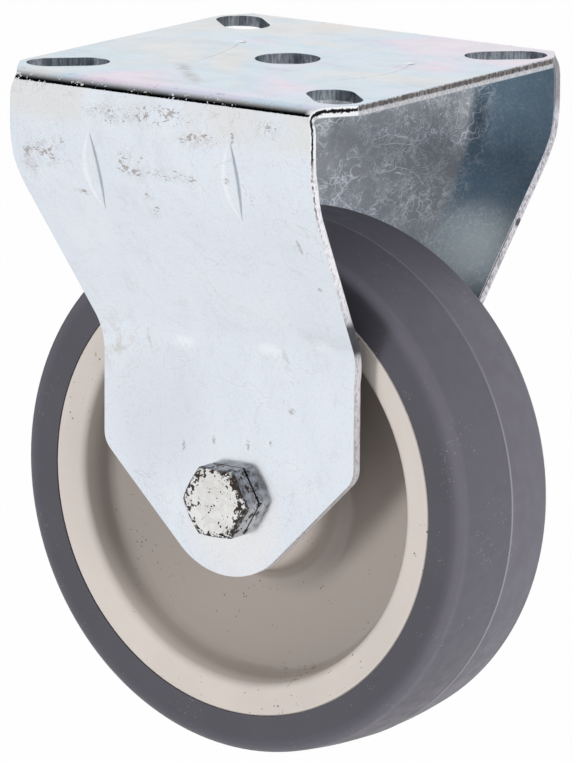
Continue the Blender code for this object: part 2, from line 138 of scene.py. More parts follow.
# Wear on the near leg, and the painted highlights along its lower bend: across, height, half width and half
# height of each oval
NICK_PATCHES = (
    (-0.0310, 0.1430, 0.0075, 0.0060), (0.0010, 0.1540, 0.0120, 0.0036), (0.0030, 0.1404, 0.0095, 0.0022),
    (-0.0050, 0.1325, 0.0026, 0.0052), (0.0300, 0.1540, 0.0042, 0.0032), (-0.0243, 0.1336, 0.0036, 0.0013),
    (0.0205, 0.1515, 0.0010, 0.0026), (-0.0370, 0.1395, 0.0030, 0.0060), (0.0245, 0.1370, 0.0016, 0.0024),
    (-0.0120, 0.1530, 0.0140, 0.0030), (0.0110, 0.1495, 0.0080, 0.0030), (-0.0080, 0.1420, 0.0060, 0.0050))
SMALL_MARKS = (
    (0.0178, 0.1411, 0.0007, 0.0011), (0.0330, 0.1268, 0.0006, 0.0024), (0.0339, 0.1162, 0.0008, 0.0006),
    (0.0179, 0.0842, 0.0013, 0.0010), (-0.0124, 0.0724, 0.0006, 0.0016), (0.0057, 0.0749, 0.0006, 0.0016),
    (-0.0039, 0.0748, 0.0006, 0.0013), (0.0120, 0.0760, 0.0005, 0.0009))
PAINTED_BEND_HIGHLIGHTS = (
    (-0.0121, 0.0968, 0.0045, 0.0022), (0.0122, 0.0979, 0.0050, 0.0024), (0.0280, 0.1010, 0.0045, 0.0026))
BEND_STAINS = ((-0.0210, 0.0965, 0.0006, 0.0045), (0.0164, 0.0960, 0.0012, 0.0035))
SMEAR_POINT = (-0.032, -0.0226, 0.094)

# Wear on the plate: circles of the drag marks, and the dents that they end in
DRAG_MARKS = (((-0.0810, -0.0171), 0.0660), ((0.0031, -0.0016), 0.0263))
DENTS = ((-0.0215, 0.0118), (0.0260, 0.0114))

# On the far leg: the middle of a painted pool of light inside, and the nick worn in its edge
PAINTED_LIGHT_POINT = (0.0300, 0.0304, 0.1145)
EDGE_NICK = (0.0389, 0.0367, 0.1211)

# Worst rust round the bolt's head: place off its middle, and radius
RUST_PATCHES = (
    ((0.0076, 0.0, -0.0030), 0.0042), ((-0.0052, 0.0, -0.0062), 0.0036), ((0.0056, 0.0, 0.0060), 0.0030))


class CastorSizes(bpy.types.PropertyGroup):
    """Fine sizes of the dressed pieces."""

    edge_break: bpy.props.FloatProperty(
        name="Edge break", description="Rounding along the sheet's punched edges",
        default=0.00022, min=0.00005, max=0.0006, precision=5, unit="LENGTH")
    thread_pitch: bpy.props.FloatProperty(
        name="Thread pitch", description="Pitch of the axle bolt's thread",
        default=0.0015, min=0.0008, max=0.002, precision=5, unit="LENGTH")
    thread_depth: bpy.props.FloatProperty(
        name="Thread depth", description="Depth of the axle bolt's thread",
        default=0.0007, min=0.0003, max=0.001, precision=5, unit="LENGTH")
    parting_line_offset: bpy.props.FloatProperty(
        name="Parting line offset", description="Where the mould's parting line runs round the tread",
        default=0.0010, min=-0.005, max=0.005, precision=5, unit="LENGTH")
    parting_line_height: bpy.props.FloatProperty(
        name="Parting line height", description="How far the parting line stands out of the tread",
        default=0.00012, min=0.0, max=0.0004, precision=5, unit="LENGTH")
    round_steps: bpy.props.IntProperty(
        name="Round steps", description="Steps round a full turn of the wheel",
        default=160, min=48, max=256)


class CastorFinishes(bpy.types.PropertyGroup):
    """Colours and wear of the dressed pieces."""

    zinc_tint: bpy.props.FloatVectorProperty(
        name="Zinc", description="Pale blue-white of the bright zinc plating",
        subtype="COLOR", default=(0.76, 0.81, 0.86), min=0.0, max=1.0)
    zinc_roughness: bpy.props.FloatProperty(
        name="Zinc roughness", description="How blurred the plating's reflections are",
        default=0.17, min=0.0, max=1.0, subtype="FACTOR")
    rust_tint: bpy.props.FloatVectorProperty(
        name="Rust", description="Dark brown of the rust specks",
        subtype="COLOR", default=(0.060, 0.036, 0.022), min=0.0, max=1.0)
    bolt_tint: bpy.props.FloatVectorProperty(
        name="Bolt plating", description="White of the bolt's plating",
        subtype="COLOR", default=(0.80, 0.80, 0.80), min=0.0, max=1.0)
    plastic_tint: bpy.props.FloatVectorProperty(
        name="Wheel centre", description="Warm grey of the moulded wheel centre",
        subtype="COLOR", default=(0.668, 0.606, 0.560), min=0.0, max=1.0)
    rubber_tint: bpy.props.FloatVectorProperty(
        name="Tyre", description="Grey of the tyre's rubber",
        subtype="COLOR", default=(0.078, 0.0735, 0.0905), min=0.0, max=1.0)


class CastorStudio(bpy.types.PropertyGroup):
    """Camera, lamps and backdrop."""

    azimuth: bpy.props.FloatProperty(
        name="Camera azimuth", description="Camera direction round the castor from its near side",
        default=math.radians(35.66), subtype="ANGLE")
    elevation: bpy.props.FloatProperty(
        name="Camera elevation", description="Camera's tilt down to the aimed point",
        default=math.radians(12.20), subtype="ANGLE")
    roll: bpy.props.FloatProperty(
        name="Camera roll", description="Camera's turn about its own view",
        default=math.radians(0.30), subtype="ANGLE")
    distance: bpy.props.FloatProperty(
        name="Camera distance", description="From the aimed point to the camera",
        default=1.8381, min=0.3, unit="LENGTH")
    aim_height: bpy.props.FloatProperty(
        name="Aim height", description="Height of the aimed point over the floor",
        default=0.0851, unit="LENGTH")
    lens: bpy.props.FloatProperty(
        name="Lens", description="Focal length in millimetres on a 36 mm frame",
        default=378.66, min=10.0)
    fill_light: bpy.props.FloatProperty(
        name="Fill light", description="Even light from all round on surfaces that don't mirror",
        default=0.145, min=0.0)
    key_light: bpy.props.FloatProperty(
        name="Key light", description="Power of the soft lamp at the front left, in watts",
        default=9.9, min=0.0)
    side_light: bpy.props.FloatProperty(
        name="Side light", description="Power of the soft lamp at the far right, in watts",
        default=13.5, min=0.0)


def start_clean():
    """Leave edit mode and deselect everything, so that the next operator acts only on its own piece."""
    if bpy.context.object and bpy.context.object.mode != "OBJECT":
        bpy.ops.object.mode_set(mode="OBJECT")
    bpy.ops.object.select_all(action="DESELECT")


def take(name):
    """Name the piece that an operator has just added."""
    piece = bpy.context.object
    piece.name = name
    piece.data.name = name
    return piece


def select_only(piece):
    """Make one piece the only selected and the active one."""
    start_clean()
    piece.select_set(True)
    bpy.context.view_layer.objects.active = piece


def apply_modifiers(piece):
    """Apply a piece's modifiers in their order."""
    select_only(piece)
    for modifier in list(piece.modifiers):
        bpy.ops.object.modifier_apply(modifier=modifier.name)


def tidy_shell(piece):
    """Merge doubles and turn every face outwards."""
    select_only(piece)
    bpy.ops.object.mode_set(mode="EDIT")
    bpy.ops.mesh.select_all(action="SELECT")
    bpy.ops.mesh.remove_doubles(threshold=0.000002)
    bpy.ops.mesh.normals_make_consistent(inside=False)
    bpy.ops.object.mode_set(mode="OBJECT")


def settle(piece):
    """Put a finished piece's place into its mesh."""
    select_only(piece)
    bpy.ops.object.transform_apply(location=True, rotation=True, scale=True)


def discard(tool):
    """Remove a cutter that has done its work."""
    bpy.data.objects.remove(tool, do_unlink=True)


def carve(piece, tools):
    """Cut a piece with several closed cutters, then remove them."""
    for tool in tools:
        boolean = piece.modifiers.new("Cut", "BOOLEAN")
        boolean.operation = "DIFFERENCE"
        boolean.solver = "EXACT"
        boolean.object = tool
    apply_modifiers(piece)
    for tool in tools:
        discard(tool)


def soften(piece, width, segments, angle):
    """Round a piece's sharp edges and weight its normals towards its large faces."""
    bevel = piece.modifiers.new("Edges", "BEVEL")
    bevel.width = width
    bevel.segments = segments
    bevel.limit_method = "ANGLE"
    bevel.angle_limit = angle
    bevel.use_clamp_overlap = True
    apply_modifiers(piece)
    shade(piece, angle)


def shade(piece, angle):
    """Shade a piece smooth, except across sharp edges."""
    select_only(piece)
    bpy.ops.object.shade_smooth_by_angle(angle=angle)
    weighted = piece.modifiers.new("Normals", "WEIGHTED_NORMAL")
    weighted.keep_sharp = True
    apply_modifiers(piece)


def rounded_line(corners):
    """Points along straight runs; a corner (point, radius, steps) with a radius becomes an arc."""
    points = []
    for index, (place, radius, steps) in enumerate(corners):
        corner = Vector(place)
        if not radius:
            points.append(corner)
            continue
        back = (Vector(corners[index - 1][0]) - corner).normalized()
        ahead = (Vector(corners[(index + 1) % len(corners)][0]) - corner).normalized()
        half_angle = back.angle(ahead) / 2
        centre = corner + (back + ahead).normalized() * radius / math.sin(half_angle)
        spoke = corner + back * radius / math.tan(half_angle) - centre
        turn = math.pi - 2 * half_angle
        if back.x * ahead.y - back.y * ahead.x > 0:
            turn = -turn
        for step in range(steps + 1):
            points.append(centre + Matrix.Rotation(turn * step / steps, 2) @ spoke)
    return points


def outline_prism(name, outline, along, low, high):
    """A closed cutter: a filled outline pushed along Y or Z."""
    start_clean()
    bpy.ops.mesh.primitive_circle_add(vertices=len(outline), fill_type="NGON")
    tool = take(name)
    for vertex, (a, b) in zip(tool.data.vertices, outline):
        vertex.co = (a, low, b) if along == "Y" else (a, b, low)
    travel = (0, high - low, 0) if along == "Y" else (0, 0, high - low)
    bpy.ops.object.mode_set(mode="EDIT")
    bpy.ops.mesh.select_all(action="SELECT")
    bpy.ops.mesh.extrude_region_move(TRANSFORM_OT_translate={"value": travel})
    bpy.ops.object.mode_set(mode="OBJECT")
    tidy_shell(tool)
    return tool


def circle_outline(centre, radius, steps):
    """Points round a circle."""
    angles = [2 * math.pi * step / steps for step in range(steps)]
    return [Vector((centre[0] + radius * math.cos(a), centre[1] + radius * math.sin(a))) for a in angles]


def stadium(centre, direction, length, width, steps):
    """A slot's outline: two half circles joined by straight sides."""
    heading = math.atan2(direction.y, direction.x)
    reach = (length - width) / 2
    points = []
    for end in (0, math.pi):
        hub = centre + Matrix.Rotation(heading + end, 2) @ Vector((reach, 0))
        for step in range(steps + 1):
            angle = heading + end - math.pi / 2 + math.pi * step / steps
            points.append(hub + Vector((math.cos(angle), math.sin(angle))) * width / 2)
    return points


def turned(name, section, steps, ends_open):
    """A piece spun round the axle from (y, radius) points; a shaft's section starts and ends on it."""
    start_clean()
    bpy.ops.mesh.primitive_circle_add(vertices=len(section), fill_type="NOTHING")
    piece = take(name)
    for vertex, (along, radius) in zip(piece.data.vertices, section):
        vertex.co = (radius, along, AXLE_Z)
    last = {len(section) - 1, 0}
    for edge in piece.data.edges:
        edge.select = ends_open and set(edge.vertices) == last
    for vertex in piece.data.vertices:
        vertex.select = ends_open and vertex.index in last
    bpy.ops.object.mode_set(mode="EDIT")
    if ends_open:
        bpy.ops.mesh.select_mode(type="EDGE")
        bpy.ops.mesh.delete(type="EDGE_FACE")
        bpy.ops.mesh.select_mode(type="VERT")
    bpy.ops.mesh.select_all(action="SELECT")
    bpy.ops.mesh.spin(steps=steps, angle=2 * math.pi, center=(0, 0, AXLE_Z), axis=(0, 1, 0))
    bpy.ops.object.mode_set(mode="OBJECT")
    tidy_shell(piece)
    return piece


def hump(distance, full_width):
    """A smooth hump, 1 in the middle and 0 beyond half its width."""
    share = min(1.0, abs(distance) / (full_width / 2))
    return math.cos(share * math.pi / 2) ** 2


def half_width(run, height):
    """Half the sheet's width at a distance from the neck's start and at a height."""
    narrowed = min(1.0, max(0.0, run / NECK_RUN))
    returned = min(1.0, max(0.0, (run - NECK_RUN) / RELIEF_RUN))
    tapered = min(1.0, max(0.0, (UPPER_BEND_Z - height) / (UPPER_BEND_Z - TAPER_END_Z)))
    return PLATE_HALF_X - NECK_NOTCH * narrowed - RELIEF_DEPTH * (narrowed - returned) - LEG_TAPER * tapered


def fold_line():
    """The sheet's outer face seen along X: the plate from its middle, the fold and one leg."""
    upper = Vector((PLATE_HALF_Y, UPPER_BEND_Z))
    lower = Vector((FORK_OUTER_Y, LOWER_BEND_Z))
    slope = lower - upper
    turn = math.atan2(-slope.x, -slope.y)
    corners = [((0, PLATE_TOP), 0, 0)]
    corners.append(((PLATE_HALF_Y, PLATE_TOP), FOLD_RADIUS, 14))
    corners.append((upper, UPPER_BEND_REACH / math.tan(turn / 2), 14))
    corners.append((lower, LOWER_BEND_REACH / math.tan(turn / 2), 10))
    corners.append(((FORK_OUTER_Y, AXLE_Z - TIP_RADIUS - SHEET), 0, 0))
    return rounded_line(corners)


def row_step(height, run):
    """How far apart the sheet's rows are: close where it is pressed, wide where it is flat."""
    if run < NECK_START:
        return 0.003
    near_upper = abs(height - UPPER_BEND_Z) < 0.6 * UPPER_RIB[2]
    near_lower = abs(height - LOWER_BEND_Z) < LOWER_RIB[2] / 2
    return 0.0008 if near_upper or near_lower else 0.0018


def sheet_rows():
    """Rows of the sheet: distance from the plate's middle, point and outward normal."""
    points = fold_line()
    rows = [(0.0, points[0])]
    for start, end in zip(points, points[1:]):
        run, length = rows[-1][0], (end - start).length
        place = 0.0
        while place < length:
            spot = start.lerp(end, place / length)
            place = min(length, place + row_step(spot.y, run + place))
            if length - place < 0.0003:
                place = length
            rows.append((run + place, start.lerp(end, place / length)))
    stations = []
    for index, (run, point) in enumerate(rows):
        before = rows[max(index - 1, 0)][1]
        after = rows[min(index + 1, len(rows) - 1)][1]
        tangent = (after - before).normalized()
        stations.append((run, point, Vector((-tangent.y, tangent.x))))
    return stations


def sheet_columns():
    """Fixed places across the sheet, close together at the pressed ribs."""
    columns = set(round(0.003 * index, 6) for index in range(-11, 12))
    for side in (-1, 1):
        for index in range(-9, 10):
            columns.add(round(side * RIB_X + 0.00028 * index, 6))
        for index in range(-5, 6):
            columns.add(round(side * RIB_X + 0.0011 * index, 6))
    kept = []
    for place in sorted(columns):
        if not kept or place - kept[-1] > 0.0002:
            kept.append(place)
    return kept


def run_nearest(rows, height):
    """The distance along the sheet of the row nearest to a height."""
    return min(rows, key=lambda row: abs(row[1].y - height))[0]


def wedge(across, along, depth, width, length):
    """A groove pressed by a wedge: pointed at both ends, its right flank steeper than its left."""
    reach = 1 - min(1.0, abs(along) / (length / 2)) ** 2
    if reach <= 0:
        return 0.0
    valley = 0.08 * width * reach
    flank = (0.5 * width * reach + valley) if across < valley else (0.5 * width * reach - valley)
    return depth * reach * max(0.0, 1 - abs(across - valley) / max(flank, 0.0001))


def rib_offsets(across, run, upper_run, lower_run):
    """How far the ribs push the outer and inner faces: inwards at the upper bend, outwards at the lower."""
    side = 1 if across > 0 else -1
    upper = wedge(across - side * RIB_X, run - upper_run - RIB_SHIFT[side], *UPPER_RIB)
    soft = hump(across - side * RIB_X, UPPER_RIB_BACK[1]) * hump(run - upper_run, UPPER_RIB_BACK[2])
    lower = LOWER_RIB[0] * hump(abs(across) - RIB_X, LOWER_RIB[1]) * hump(run - lower_run, LOWER_RIB[2])
    return lower - upper, lower - UPPER_RIB_BACK[0] * soft


def neck_half_width(run, height):
    """Half the sheet's width with the neck's inner corners rounded off."""
    if run < 0.004:
        return half_width(run, height)
    samples = [half_width(run + 0.0004 * step, height) for step in range(-4, 5)]
    return sum(samples) / len(samples)


def folded_sheet(name):
    """The whole sheet: a grid laid along the fold line, given its thickness, then pressed on both faces."""
    half = sheet_rows()
    upper_run = run_nearest(half, UPPER_BEND_Z)
    lower_run = run_nearest(half, LOWER_BEND_Z)
    inner = sheet_columns()
    rows = [(-1, *row) for row in reversed(half[1:])] + [(1, *row) for row in half]
    width = len(inner) + 2 * EDGE_STEPS
    outer_face, inner_face = [], []
    for side, run, point, normal in rows:
        edge = neck_half_width(run - NECK_START, point.y)
        last = inner[-1]
        outside = [last + (edge - last) * step / EDGE_STEPS for step in range(1, EDGE_STEPS + 1)]
        for across in [-place for place in reversed(outside)] + inner + outside:
            pressed, soft = rib_offsets(across, run, upper_run, lower_run)
            top = point + normal * pressed
            below = point + normal * (soft - SHEET)
            outer_face.append((across, side * top.x, top.y))
            inner_face.append((across, side * below.x, below.y))
    start_clean()
    bpy.ops.mesh.primitive_grid_add(x_subdivisions=width - 1, y_subdivisions=len(rows) - 1, size=1)
    sheet = take(name)
    thickness = sheet.modifiers.new("Sheet", "SOLIDIFY")
    thickness.thickness = SHEET
    apply_modifiers(sheet)
    places = np.array(outer_face + inner_face, dtype=np.float32)
    sheet.data.vertices.foreach_set("co", places.ravel())
    sheet.data.update()
    tidy_shell(sheet)
    return sheet, outer_face, inner_face


def tip_cutter_outline():
    """What is cut off below each leg: rounded corners, straight flanks and a round tip."""
    bottom_half = half_width(NECK_RUN + RELIEF_RUN, TAPER_END_Z)
    corner = Vector((bottom_half, TIP_CORNER_RISE))
    touch_angle = math.atan2(corner.y, corner.x) - math.acos(TIP_RADIUS / corner.length)
    touch = Vector((math.cos(touch_angle), math.sin(touch_angle))) * TIP_RADIUS
    above = corner + Vector((0, TIP_CORNER_RADIUS))
    right = rounded_line([(above, 0, 0), (corner, TIP_CORNER_RADIUS, 12), (touch, 0, 0)])[1:]
    steps = 22
    for step in range(1, steps):
        angle = touch_angle + (-math.pi / 2 - touch_angle) * step / steps
        right.append(Vector((math.cos(angle), math.sin(angle))) * TIP_RADIUS)
    right.insert(0, right[0] + Vector((SHEET * 2, 0)))
    left = [Vector((-point.x, point.y)) for point in reversed(right)]
    below = -TIP_RADIUS - SHEET * 3
    outline = right + [Vector((0, -TIP_RADIUS))] + left
    outline.append(Vector((left[-1].x, below)))
    outline.append(Vector((right[0].x, below)))
    return [point + Vector((0, AXLE_Z)) for point in outline]


def mark_depth(piece, outer_face, inner_face, width):
    """Store how deep each corner lies in the sheet: 0 on the outer face, 1 on the inner."""
    rows = len(outer_face) // width
    faces = []
    for row in range(rows - 1):
        for column in range(width - 1):
            corner = row * width + column
            faces.append((corner, corner + 1, corner + width + 1, corner + width))
    outer = BVHTree.FromPolygons(outer_face, faces)
    inner = BVHTree.FromPolygons(inner_face, faces)
    values = []
    for vertex in piece.data.vertices:
        under, over = outer.find_nearest(vertex.co)[3], inner.find_nearest(vertex.co)[3]
        values.append(under / (under + over))
    depth = piece.data.attributes.new("depth", "FLOAT", "POINT")
    depth.data.foreach_set("value", np.array(values, dtype=np.float32))


def node_group(name, inputs, outputs):
    """An empty shader group with named float or vector sockets."""
    group = bpy.data.node_groups.new(name, "ShaderNodeTree")
    kinds = {"float": "NodeSocketFloat", "vector": "NodeSocketVector"}
    for label, kind, default in inputs:
        socket = group.interface.new_socket(label, in_out="INPUT", socket_type=kinds[kind])
        if default is not None:
            socket.default_value = default
    for label, kind in outputs:
        group.interface.new_socket(label, in_out="OUTPUT", socket_type=kinds[kind])
    entry = group.nodes.new("NodeGroupInput")
    leave = group.nodes.new("NodeGroupOutput")
    return group, entry, leave


class Wiring:
    """Adds nodes to a tree and joins them, a line for each node."""

    def __init__(self, tree):
        self.tree = tree

    def join(self, value, socket):
        """Link a socket, or set a plain value."""
        if isinstance(value, bpy.types.NodeSocket):
            self.tree.links.new(value, socket)
        elif value is not None:
            socket.default_value = value

    def noise(self, place, scale, detail=4.0, roughness=0.55, distortion=0.0):
        """Noise between 0 and 1."""
        node = self.tree.nodes.new("ShaderNodeTexNoise")
        self.join(place, node.inputs["Vector"])
        self.join(scale, node.inputs["Scale"])
        node.inputs["Detail"].default_value = detail
        node.inputs["Roughness"].default_value = roughness
        node.inputs["Distortion"].default_value = distortion
        return node.outputs[0]

    def cells(self, place, scale):
        """Distance to scattered points."""
        node = self.tree.nodes.new("ShaderNodeTexVoronoi")
        self.join(place, node.inputs["Vector"])
        self.join(scale, node.inputs["Scale"])
        return node.outputs["Distance"]

    def jitter(self, place, scale, amount):
        """Push a place about by a little noise."""
        node = self.tree.nodes.new("ShaderNodeTexNoise")
        self.join(place, node.inputs["Vector"])
        self.join(scale, node.inputs["Scale"])
        node.inputs["Detail"].default_value = 2.0
        shift = self.vector("SUBTRACT", node.outputs["Color"], (0.5, 0.5, 0.5))
        return self.vector("ADD", place, self.vector("SCALE", shift, amount))

    def dot(self, place, direction):
        """How far a place lies along a direction."""
        node = self.tree.nodes.new("ShaderNodeVectorMath")
        node.operation = "DOT_PRODUCT"
        self.join(place, node.inputs[0])
        node.inputs[1].default_value = direction
        return node.outputs["Value"]

    def vector(self, operation, first, second):
        """One vector step; SCALE takes a plain factor."""
        node = self.tree.nodes.new("ShaderNodeVectorMath")
        node.operation = operation
        self.join(first, node.inputs[0])
        self.join(second, node.inputs["Scale"] if operation == "SCALE" else node.inputs[1])
        return node.outputs[0]

    def blob(self, place, point, radius, edge=0.6):
        """1 near a point and 0 beyond a radius, fading over a share of it."""
        return self.ramp(self.gap(place, point), radius * (1 - edge), radius, 1.0, 0.0)

    def product(self, *values):
        """Several values multiplied."""
        result = values[0]
        for value in values[1:]:
            result = self.sum("MULTIPLY", result, value)
        return result

    def ramp(self, value, low, high, to_low=0.0, to_high=1.0, smooth=True):
        """Map a range of values onto another."""
        node = self.tree.nodes.new("ShaderNodeMapRange")
        node.interpolation_type = "SMOOTHSTEP" if smooth else "LINEAR"
        self.join(value, node.inputs["Value"])
        self.join(low, node.inputs["From Min"])
        self.join(high, node.inputs["From Max"])
        self.join(to_low, node.inputs["To Min"])
        self.join(to_high, node.inputs["To Max"])
        return node.outputs[0]

    def sum(self, operation, first, second=None, third=None):
        """One arithmetic step."""
        node = self.tree.nodes.new("ShaderNodeMath")
        node.operation = operation
        self.join(first, node.inputs[0])
        self.join(second, node.inputs[1])
        self.join(third, node.inputs[2])
        return node.outputs[0]

    def mix_colour(self, share, first, second):
        """Blend two colours given as three or four numbers or as sockets."""
        node = self.tree.nodes.new("ShaderNodeMix")
        node.data_type = "RGBA"
        self.join(share, node.inputs[0])
        for value, socket in ((first, node.inputs[6]), (second, node.inputs[7])):
            if not isinstance(value, bpy.types.NodeSocket) and len(value) == 3:
                value = (*value, 1.0)
            self.join(value, socket)
        return node.outputs[2]

    def stops(self, value, colours):
        """A colour ramp through (place, colour) stops."""
        node = self.tree.nodes.new("ShaderNodeValToRGB")
        self.join(value, node.inputs[0])
        ramp = node.color_ramp
        while len(ramp.elements) < len(colours):
            ramp.elements.new(0.5)
        for element, (place, colour) in zip(ramp.elements, colours):
            element.position = place
            element.color = (*colour, 1.0)
        return node.outputs[0]

    def mapping(self, place, location=(0, 0, 0), rotation=(0, 0, 0), scale=(1, 1, 1)):
        """Move, turn and stretch a pattern."""
        node = self.tree.nodes.new("ShaderNodeMapping")
        self.join(place, node.inputs["Vector"])
        node.inputs["Location"].default_value = location
        node.inputs["Rotation"].default_value = rotation
        node.inputs["Scale"].default_value = scale
        return node.outputs[0]

    def axes(self, place):
        """The three numbers of a place."""
        node = self.tree.nodes.new("ShaderNodeSeparateXYZ")
        self.join(place, node.inputs[0])
        return node.outputs[0], node.outputs[1], node.outputs[2]

    def gap(self, place, point):
        """Distance of a place from a fixed point."""
        node = self.tree.nodes.new("ShaderNodeVectorMath")
        node.operation = "DISTANCE"
        self.join(place, node.inputs[0])
        node.inputs[1].default_value = point
        return node.outputs["Value"]

    def bump(self, height, distance, strength=1.0, below=None):
        """A bump on the surface, over another where one is given."""
        node = self.tree.nodes.new("ShaderNodeBump")
        node.inputs["Strength"].default_value = strength
        node.inputs["Distance"].default_value = distance
        self.join(height, node.inputs["Height"])
        if below is not None:
            self.join(below, node.inputs["Normal"])
        return node.outputs[0]

    def group(self, tree, **values):
        """A shader group placed with its own values."""
        node = self.tree.nodes.new("ShaderNodeGroup")
        node.node_tree = tree
        for label, value in values.items():
            self.join(value, node.inputs[label.replace("_", " ")])
        return node.outputs


def specks_group():
    """Small ragged specks gathered in patches, as rust and dirt lie."""
    if "Specks" in bpy.data.node_groups:
        return bpy.data.node_groups["Specks"]
    group, entry, leave = node_group(
        "Specks",
        [("Place", "vector", None), ("Size", "float", 900.0), ("Amount", "float", 0.4),
         ("Patch", "float", 30.0)],
        [("Mask", "float")])
    wire = Wiring(group)
    place, size = entry.outputs["Place"], entry.outputs["Size"]
    pushed = wire.jitter(place, wire.sum("MULTIPLY", size, 0.7), 0.0005)
    grain = wire.cells(pushed, size)
    patch = wire.ramp(wire.noise(place, entry.outputs["Patch"], 4.0, 0.65), 0.38, 0.70)
    thinned = wire.ramp(wire.noise(place, wire.sum("MULTIPLY", size, 0.45), 2.0), 0.40, 0.62)
    limit = wire.product(patch, entry.outputs["Amount"], 0.62, thinned)
    shape = wire.ramp(wire.sum("SUBTRACT", limit, grain), -0.03, 0.06)
    wire.join(wire.sum("MULTIPLY", shape, wire.ramp(limit, 0.02, 0.06)), leave.inputs["Mask"])
    return group


def scratches_group():
    """Hair-thin branching scratches in scattered directions."""
    if "Scratches" in bpy.data.node_groups:
        return bpy.data.node_groups["Scratches"]
    group, entry, leave = node_group(
        "Scratches",
        [("Place", "vector", None), ("Scale", "float", 60.0), ("Width", "float", 0.02)],
        [("Mask", "float")])
    wire = Wiring(group)
    place = entry.outputs["Place"]
    scale = entry.outputs["Scale"]
    lines = None
    for turn, finer in (((0.3, 0.5, 0.2), 1.0), ((1.4, 0.2, 1.1), 1.6), ((2.3, 1.9, 0.6), 2.3)):
        spread = wire.mapping(place, rotation=turn, scale=(1.0, 0.45, 1.0))
        wobble = wire.noise(spread, wire.sum("MULTIPLY", scale, finer), 3.0, 0.58, 0.7)
        off = wire.sum("ABSOLUTE", wire.sum("SUBTRACT", wobble, 0.5))
        line = wire.ramp(off, 0.0, entry.outputs["Width"], 1.0, 0.0)
        lines = line if lines is None else wire.sum("MAXIMUM", lines, line)
    broken = wire.ramp(wire.noise(place, wire.sum("MULTIPLY", scale, 0.9), 3.0, 0.6), 0.40, 0.54)
    wire.join(wire.sum("MULTIPLY", lines, broken), leave.inputs["Mask"])
    return group


def new_material(name):
    """A material with its wiring, its main shader and its Object coordinates."""
    material = bpy.data.materials.new(name)
    material.use_nodes = True
    wire = Wiring(material.node_tree)
    shader = material.node_tree.nodes["Principled BSDF"]
    place = material.node_tree.nodes.new("ShaderNodeTexCoord").outputs["Object"]
    return material, wire, shader, place


def attribute(wire, name):
    """A mesh attribute's value."""
    node = wire.tree.nodes.new("ShaderNodeAttribute")
    node.attribute_name = name
    return node.outputs["Fac"]


def near_side(wire, y):
    """1 on the half of the castor with the bolt's head and 0 on the other."""
    return wire.ramp(y, 0.0, 0.001, 1.0, 0.0)


def band(wire, value, low, high, edge):
    """1 between two values and 0 outside, with soft edges."""
    rise = wire.ramp(value, low - edge, low + edge)
    fall = wire.ramp(value, high - edge, high + edge, 1.0, 0.0)
    return wire.sum("MULTIPLY", rise, fall)


def zinc_face(wire, place, finish):
    """Colour of the sheet's outer face: milky blue-white legs, coloured darker on the slope between the
    bends as painted shade, and a faintly iridescent plate.
    """
    z = wire.axes(place)[2]
    cloud = wire.noise(wire.mapping(place, scale=(1.0, 0.5, 0.6)), 52.0, 5.0, 0.62, 0.4)
    legs = wire.stops(cloud, [
        (0.30, (0.70, 0.75, 0.84)), (0.45, (0.74, 0.785, 0.865)), (0.58, (0.775, 0.82, 0.895)),
        (0.72, (0.82, 0.85, 0.90))])
    legs = wire.mix_colour(0.5, legs, tuple(finish.zinc_tint))
    # Painted shade: the legs are coloured darker on the slope between the bends.
    slope = wire.product(wire.ramp(z, LOWER_BEND_Z, LOWER_BEND_Z + 0.005),
                         wire.ramp(z, UPPER_BEND_Z - 0.012, UPPER_BEND_Z, 1.0, 0.0))
    legs = wire.mix_colour(wire.product(slope, 0.22), legs, (0.66, 0.69, 0.76))
    leaning = wire.mapping(place, rotation=(0, 0.5, 0), scale=(1.0, 1.0, 0.5))
    handled = wire.noise(leaning, 190.0, 6.0, 0.72, 0.6)
    legs = wire.mix_colour(wire.ramp(handled, 0.50, 0.72, 0.0, 0.26), legs, (0.58, 0.60, 0.65))
    patchy = wire.ramp(wire.noise(place, 70.0, 4.0, 0.6), 0.35, 0.60)
    warm = wire.product(wire.ramp(z, 0.1475, 0.1520), patchy)
    legs = wire.mix_colour(wire.product(warm, 0.55), legs, (0.74, 0.72, 0.69))
    tint_place = wire.mapping(place, rotation=(0, 0, 0.5), scale=(1.0, 1.0, 0.2))
    tint = wire.stops(wire.noise(tint_place, 24.0, 3.0, 0.5, 0.5), [
        (0.28, (0.64, 0.60, 0.57)), (0.40, (0.61, 0.64, 0.66)), (0.49, (0.50, 0.64, 0.74)),
        (0.57, (0.59, 0.61, 0.74)), (0.64, (0.70, 0.60, 0.71)), (0.74, (0.64, 0.66, 0.71))])
    smudge = wire.noise(wire.mapping(place, rotation=(0, 0, 0.9), scale=(0.35, 1.0, 1.0)), 130.0, 5.0, 0.7)
    tint = wire.mix_colour(wire.ramp(smudge, 0.50, 0.72, 0.0, 0.45), tint, (0.42, 0.45, 0.50))
    on_plate = wire.ramp(z, PLATE_TOP - 0.0012, PLATE_TOP - 0.0003)
    legs = leg_relief(wire, place, legs)
    colour = wire.mix_colour(on_plate, legs, plate_marks(wire, place, tint))
    grain = wire.noise(place, 1500.0, 2.0, 0.7)
    return wire.mix_colour(wire.ramp(grain, 0.50, 0.72, 0.0, 0.16), colour, (0.50, 0.50, 0.52))


